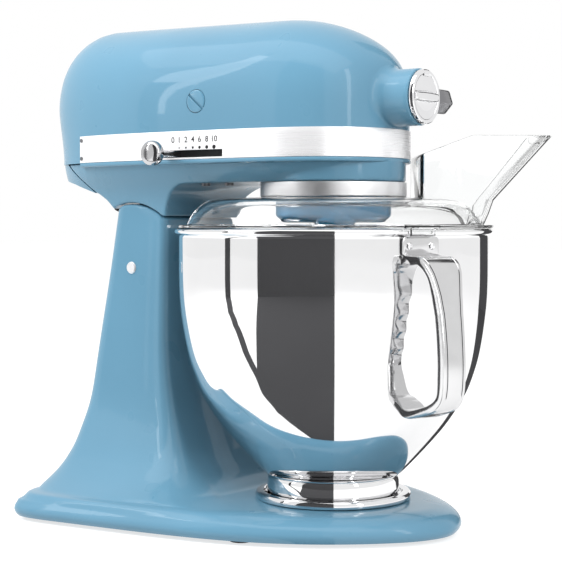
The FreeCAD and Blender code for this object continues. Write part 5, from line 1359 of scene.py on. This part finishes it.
def floor_strip(name, edge0, edge1, r0, r1, material, n=24, m=60):
    """Lies on the floor between two edges given as azimuth against distance from the bowl's axis."""
    v, f = [], []
    for j in range(m + 1):
        r = r0 + (r1 - r0) * (j / m) ** 2
        a0, a1 = edge0(r), edge1(r)
        for i in range(n + 1):
            a = math.radians(a0 + (a1 - a0) * i / n)
            v.append((r * math.cos(a), r * math.sin(a), 1.0))
    for j in range(m):
        for i in range(n):
            q = j * (n + 1) + i
            f.append((q, q + n + 1, q + n + 2, q + 1))
    o = make_obj(name, v, f)
    o.data.materials.append(material)
    o.visible_camera = False
    o.visible_shadow = False
    o.visible_diffuse = False
    return o


CAM_AZ = math.degrees(math.atan2(-0.813, 0.583))
EDGE_R = (60, 130, 200, 300, 420, 650, 920, 1500)
EDGE_A = (5, 45, 54, 61, 67.5, 76, 81, 84)


def far_edge(r):
    return CAM_AZ - float(np.interp(r, EDGE_R, EDGE_A))


for nm, e0, e1 in (("a", lambda r: max(CAM_AZ - 56, far_edge(r)), lambda r: CAM_AZ - 1.0),
                   ("b", far_edge, lambda r: far_edge(r) + 5.0 if r > 200 else max(far_edge(r), CAM_AZ - 56) + 5.0),
                   ("c", lambda r: CAM_AZ + 129, lambda r: CAM_AZ + 152)):
    panel("dark_panel_" + nm, e0(1500), e1(1500), 1500, 1.0, 2400, GREY)
    floor_strip("dark_strip_" + nm, e0, e1, 30, 1500, GREY)

world = bpy.data.worlds.new("studio")
world.use_nodes = True
bg = [n for n in world.node_tree.nodes if n.type == "BACKGROUND"][0]
bg.inputs["Color"].default_value = (1.0, 1.0, 1.0, 1)
bg.inputs["Strength"].default_value = 1.0
scene.world = world


def area(name, loc, target, size, energy, size_y=None, color=(1, 1, 1), glossy=False):
    L = bpy.data.lights.new(name, "AREA")
    L.energy = energy
    L.color = color
    L.shape = "RECTANGLE"
    L.size = size
    L.size_y = size_y or size
    o = bpy.data.objects.new(name, L)
    scene.collection.objects.link(o)
    o.location = W(loc)
    d = Vector(W(target)) - Vector(W(loc))
    o.rotation_euler = d.to_track_quat("-Z", "Y").to_euler()
    o.visible_camera = False
    o.visible_glossy = glossy
    return o


area("key_left", (-900, -1100, 1300), (-80, 0, 200), 0.9, 30)
area("strip_left", (-1000, -1000, 1000), (-80, 0, 200), 0.16, 3.6, 1.3, glossy=True)
area("fill_right", (1300, -500, 900), (0, 0, 200), 0.9, 13)
area("strip_right", (1300, -350, 800), (0, 0, 200), 0.16, 2.6, 1.1, glossy=True)
area("top_soft", (-60, -420, 1450), (-60, 0, 200), 2.4, 9.5, 0.9, glossy=True)

cam = bpy.data.cameras.new("camera")
cam.lens = 97.1
cam.sensor_width = 36.0
cam.clip_start = 0.01
cam.clip_end = 100.0
co_ = bpy.data.objects.new("camera", cam)
scene.collection.objects.link(co_)
co_.location = W((594.6, -892.7, 217.0))
pitch = math.radians(2.32)
look = Vector((-0.583 * math.cos(pitch), 0.813 * math.cos(pitch), -math.sin(pitch)))
co_.rotation_euler = look.to_track_quat("-Z", "Y").to_euler()
scene.camera = co_
scene.view_settings.view_transform = "Standard"
